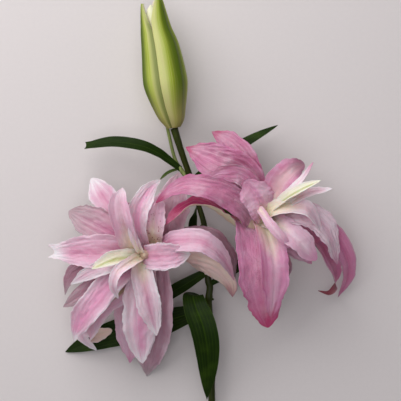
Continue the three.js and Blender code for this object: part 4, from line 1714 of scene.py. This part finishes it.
RIGHT_PETALS = (
    Petal(
        "tepal_top", Tone.MAGENTA_TIPPED, 29,
        ((46, 14, 36), (54, 48, 52), (47, 75, 57), (33, 96, 52), (13, 109, 40)),
        ((0.3, -0.6, 1), (-0.1, 0.3, 1)), (30, 15), belly=0.55, claw=0.5, relief=CRUMPLED_RELIEF,
    ),
    Petal(
        "petal_broad", Tone.MAGENTA_TIPPED, 38,
        ((44, 16, 36), (56, 40, 55), (43, 66, 66), (18, 78, 66), (-13, 93, 50)),
        ((0.5, -0.5, 1), (-0.2, 0.1, 1)), (30, 12), belly=0.6, claw=0.5, relief=CRUMPLED_RELIEF,
    ),
    Petal(
        "petal_recurved", Tone.MAGENTA_TIPPED, 27,
        (
            (58, 16, 48), (46, 32, 70), (25, 46, 80), (4, 53, 83), (-14, 54, 77), (-31, 47, 70),
            (-43, 37, 64),
        ),
        ((0.5, -0.2, 1), (-0.2, 0.6, 0.8)), (30, 20), belly=0.25, claw=1.15, tip=0.6,
        relief=CRUMPLED_RELIEF,
    ),
    Petal(
        "tepal_boat", Tone.MAGENTA_BOAT, 25,
        (
            (46, 11, 36), (34, 17, 52), (24, 25, 60), (10, 34.5, 66), (-6, 36, 67), (-20, 28, 65),
            (-34, 15, 63),
        ),
        ((0.6, 0, 0.8), (0.15, 1, 0.15), (0, 1, 0.4), (-0.6, 0.7, 0.8)), (40, 40), belly=0.5,
        claw=0.5,
    ),
    Petal(
        "petal_big", Tone.CREAM_STREAKED, 48,
        ((50, 17, 40), (56, 8, 62), (60, -25, 74), (64.5, -60, 65), (69, -88, 50)),
        ((0.3, 0.5, 1), (-0.1, -0.1, 1)), (35, 20), belly=0.4, claw=0.85, tip=0.62,
        relief=CALM_RELIEF,
    ),
    Petal(
        "petal_overlying", Tone.ROSE_RIMMED, 30,
        ((62, 20, 52), (68, 8, 74), (74, -20, 86), (74, -52, 78), (72, -78, 62)),
        ((0.3, 0.5, 1), (0.1, -0.1, 1)), (30, 20), belly=0.45, claw=0.8, tip=0.8,
        relief=CALM_RELIEF,
    ),
    Petal(
        "tepal_low", Tone.DUSKY, 28,
        ((48, 12, 34), (68, 0, 50), (79, -20, 50), (78, -60, 34)),
        ((0.2, 0.5, 1), (0.2, -0.2, 1)), (25, 10),
    ),
    Petal(
        "petal_lower_right", Tone.CREAM_LILAC, 25,
        ((64, 20, 58), (80, 15, 80), (98, 0, 88), (116, -19, 78)),
        ((-0.3, 0.6, 1), (0.2, 0.2, 1)), (35, 20), belly=0.6, claw=0.65, tip=0.5,
        relief=CALM_RELIEF,
    ),
    Petal(
        "petal_lower_rear", Tone.BLUSHED, 24,
        ((50, 12, 36), (75, 8, 58), (96, -6, 62), (113, -24, 52)),
        ((0, 0.5, 1), (0.3, -0.1, 1)), (25, 10), belly=0.55, claw=0.45,
    ),
    Petal(
        "petal_slim", Tone.CREAM_PALE, 19,
        ((62, 24, 60), (80, 33, 84), (102, 32, 92), (112, 24, 88), (121, 7, 78)),
        ((-0.3, 0.3, 1), (0.5, 0.5, 0.8)), (35, 30), claw=0.8, relief=CALM_RELIEF,
    ),
    Petal(
        "petal_far", Tone.LILAC, 30,
        ((60, 22, 52), (95, 27, 76), (118, 20, 78), (130, 2, 72), (138, -24, 60)),
        ((-0.2, 0.5, 1), (0.6, 0.3, 0.8)), (30, 15), claw=0.5, ruffle=Ruffle(1, 3),
        relief=CRUMPLED_RELIEF,
    ),
    Petal(
        "tepal_far_rear", Tone.ORCHID_PLAIN, 23,
        (
            (48, 13, 34), (90, 28, 56), (123, 14, 60), (146, -12, 46), (152, -38, 24),
            (144, -60, 0.4),
        ),
        ((-0.2, 0.4, 1), (0.45, 0.1, 0.9)), (30, 20),
    ),
    Petal(
        "tepal_hooked", Tone.RUST_BACKED, 27,
        (
            (48, 12, 34), (85, 16, 52), (115, 2, 56), (134, -24, 42), (139, -44, 26),
            (133, -54.5, 18), (122, -53, 15),
        ),
        ((0, 0.4, 1), (0.4, 0.7, 0.5), (0.6, 0.2, 0.8), (0.2, -0.7, -1)), (30, 40), belly=0.42,
        tip=0.85,
    ),
    Petal(
        "petal_standing", Tone.STANDING, 31,
        ((62, 22, 52), (73, 38, 70), (81, 58, 80), (91, 69, 82), (104, 76, 76)),
        ((-0.4, -0.4, 1), (-0.3, -0.2, 1)), (35, 20), belly=0.6, claw=0.7, tip=0.5,
        ruffle=Ruffle(1.2, 3), relief=CALM_RELIEF,
    ),
    Petal(
        "petal_between", Tone.MAUVE_PLAIN, 19,
        ((60, 22, 50), (58, 44, 68), (44, 63, 79), (26, 67, 82), (9, 62.5, 81)),
        ((0.5, -0.3, 1), (0, -0.2, 1)), (30, 10), belly=0.6, claw=0.7, tip=0.6,
        relief=CRUMPLED_RELIEF,
    ),
    Petal(
        "petal_throat", Tone.THROAT_SIDE, 33,
        ((66, 20, 54), (64, 32, 71), (55, 47, 80), (45, 58.5, 80)),
        ((0.6, -0.1, 1), (0.1, -0.2, 1)), (30, 8), belly=0.6, claw=0.75, tip=0.4,
        relief=FOLDED_RELIEF,
    ),
)
RIGHT_HEART = (
    HeartPetal(
        "heart_strip", Tone.PINK_TIPPED, 9,
        ((67, 24, 62), (84, 43, 84), (100, 60, 96), (108, 72, 100), (111, 77, 100)),
        ((-0.5, 0.4, 1), (-0.7, 0.3, 0.8)), (40, 30), belly=0.6, claw=0.8,
    ),
    HeartPetal(
        "heart_boat", Tone.CREAM_GREEN, 15,
        ((68, 25, 62), (84, 40, 88), (100, 50, 102), (110, 55, 106), (118, 59, 108)),
        ((-0.4, 0.5, 0.6), (-0.4, 0.6, 0.7)), (55, 60), belly=0.55, claw=0.6,
    ),
    HeartPetal(
        "heart_low", Tone.CREAM_PALE, 11,
        ((68, 24, 62), (88, 37, 84), (108, 47, 92), (130, 51, 96)),
        ((-0.2, 0.6, 1), (-0.2, 0.5, 0.9)), (40, 30), claw=0.8, tip=0.6,
    ),
    HeartPetal(
        "heart_curl", Tone.CREAM_LILAC, 10,
        ((65, 21, 62), (60, 31, 80), (70, 16, 93), (80, 4, 94), (89, -7, 89)),
        ((-0.5, 0.4, 1), (0, 0.3, 1)), (40, 10), belly=0.7, claw=0.3, tip=0.5,
    ),
)
LEAVES = (
    Leaf(
        "upper_left", PlainTone.LEAF, 14,
        (
            (-19, 71.5, 26.5), (-33, 82, 30), (-42, 88, 34), (-58, 94.5, 38), (-86, 98.5, 36),
            (-116, 95, 28),
        ),
        ((-0.1, 0.6, 1), (-0.1, 0.7, 0.9)), (30, 20), belly=0.6, claw=0.45, tip=0.3, blunt=0.72,
        notch=0.012,
    ),
    Leaf(
        "upper_right", PlainTone.LEAF, 13,
        ((-8.5, 59, 30), (15, 76, 25), (45, 97, 26), (80, 116, 30)),
        ((-0.3, 0.5, 1), (-0.3, 0.5, 1)), (20, 20), belly=0.4,
    ),
    Leaf(
        "fork", PlainTone.YOUNG_LEAF, 6.5,
        ((-19, 72, 25.5), (-31, 68, 22), (-40, 61, 18)),
        ((0, 0.9, 0.5), (0, 0.8, 0.6)), (20, 20), claw=0.6,
    ),
    Leaf(
        "hanging", PlainTone.LEAF, 9,
        ((-1, 36, 27.5), (-5.5, 24, 19), (-7, 8, 14)),
        ((1, 0, 0.1), (0, 0.1, 1)), (20, 20), belly=0.8, claw=0.6,
    ),
    Leaf(
        "front", PlainTone.LEAF, 27,
        (
            (9, -66, 29), (-3, -58, 34), (-6, -57, 44), (-3, -68, 52), (5, -90, 54), (9, -120, 44),
            (8, -163, 24),
        ),
        ((0, 1, 0.3), (-0.1, 0.5, 1), (0, 0.1, 1), (0, 0.1, 1)), (15, 15), belly=0.4, tip=0.9,
    ),
    Leaf(
        "mid_left", PlainTone.LEAF, 14,
        ((6, -34, 27), (-14, -46, 26), (-40, -62, 20), (-64, -80, 14)),
        ((0, 0.4, 1), (0, 0.4, 1)), (20, 15), belly=0.4, claw=0.6,
    ),
    Leaf(
        "lower_left", PlainTone.LEAF, 30,
        (
            (8, -68, 23), (-15, -78, 18), (-50, -89, 12), (-82, -96, 8), (-112, -106, 5),
            (-138, -117, 1.2),
        ),
        ((0, 0.1, 1), (0, 0.1, 1)), (20, 10), belly=0.45, claw=0.35,
    ),
    Leaf(
        "right", PlainTone.LEAF, 11,
        ((12, -45, 27), (25, -37, 26), (40, -27, 24), (58, -8, 20), (78, 12, 16)),
        ((0, -0.3, 1), (0, -0.3, 1)), (20, 15), belly=0.45, claw=0.5,
    ),
)

LEFT_BLOOM = Bloom(
    "left", "petal_pale", Egg((-45, -11, 37), (13, 11, 19)), LEFT_PETALS,
    Egg((-54, -14, 64), (6, 6, 14)), LEFT_HEART,
)
RIGHT_BLOOM = Bloom(
    "right", "petal_deep", Egg((52, 15, 42), (15, 11, 17)), RIGHT_PETALS,
    Egg((67, 23, 66), (5, 5, 13)), RIGHT_HEART,
)
STEM = Stem(
    main=Tube(
        "stem_main", PlainTone.STEM,
        (
            (-25.2, 112, 42.8), (-18.3, 90, 38), (-10.5, 67, 32), (-1, 36, 28), (5, 15, 27),
            (8, -12, 27), (9, -39, 26), (11, -49, 25), (10, -63, 24), (12, -100, 20),
            (13, -160, 12), (14, -205, 6), (14, -255, 4),
        ),
        (3.9, 3.2, 2.9, 2.6, 3.0, 2.9, 3.1, 3.5, 3.3, 3.4, 3.6, 3.8, 3.9),
        knuckles=(0.13, 0.43, 0.475, 0.7, 0.86),
    ),
    branches=(
        Tube(
            "stalk_left", PlainTone.STEM,
            ((4, 14, 27), (-8, 2, 27), (-20, -5, 26), (-35, -9, 29)), (2.2, 2.3, 2.6, 3),
        ),
        Tube(
            "stalk_right", PlainTone.STEM,
            ((-6, 50, 29), (10, 44, 28), (26, 30, 28), (42, 15, 35)), (2.2, 2.3, 2.6, 3),
        ),
        Tube(
            "stalk_small_bud", PlainTone.STALK,
            ((-8, 58, 30), (-17, 69, 27), (-25, 83, 20), (-32.8, 115.2, 8.5)),
            (2.4, 2.4, 1.8, 1.7),
        ),
        Tube("leaf_scar", PlainTone.STEM, ((11, -60, 24), (15, -61.5, 25)), (1.8, 0.9)),
        Tube("fork_knuckle", PlainTone.STEM, ((5, 13, 27), (8, 14, 28)), (2.2, 1.2)),
    ),
)

BUD = Bud(
    axis=(
        (-25.2, 113, 43), (-26.5, 121.5, 44), (-29.2, 133, 45), (-32, 150, 46), (-33.9, 163, 46),
        (-38.4, 191, 46), (-43, 212, 46), (-46.6, 240, 46), (-43, 251, 46),
    ),
    radii=(6.5, 11.9, 16, 20.5, 21.6, 19, 15, 11, 9),
)
SMALL_BUD = SmallBud(
    axis=((-33, 116, 8.3), (-35, 133, 8), (-37.5, 150, 7.6), (-39, 166, 7.2)),
    radii=(2.2, 8.6, 7.6, 1.2),
)


def find_shift(leaf: Leaf, node: str) -> Vector:
    """How far the frame's place is from the modelled one, read off a leaf's free tip.

    Args:
        leaf: the modelled leaf.
        node: the same leaf in the frame.

    Returns:
        The shift in millimetres.
    """
    low, high = leaf.coarse_box()
    node_low, node_high = (Vector(corner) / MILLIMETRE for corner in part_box(node))
    return Vector((node_high.x - high.x, node_high.y - high.y, node_low.z - low.z))


def main() -> None:
    """Builds the lily and its studio."""
    logging.basicConfig(level=logging.INFO, format="%(name)s %(message)s")
    shift = find_shift(LEAVES[-1], "leaf_right")
    LOG.info("shift %.3f %.3f %.3f mm", *shift)
    bench = Workbench(shift)
    for assembly in (LEFT_BLOOM, RIGHT_BLOOM, Foliage(LEAVES), STEM, BUD, SMALL_BUD, Studio(shift)):
        assembly.build(bench)
    LOG.info("%d pieces", bench.count)
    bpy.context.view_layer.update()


if __name__ == "__main__":
    main()
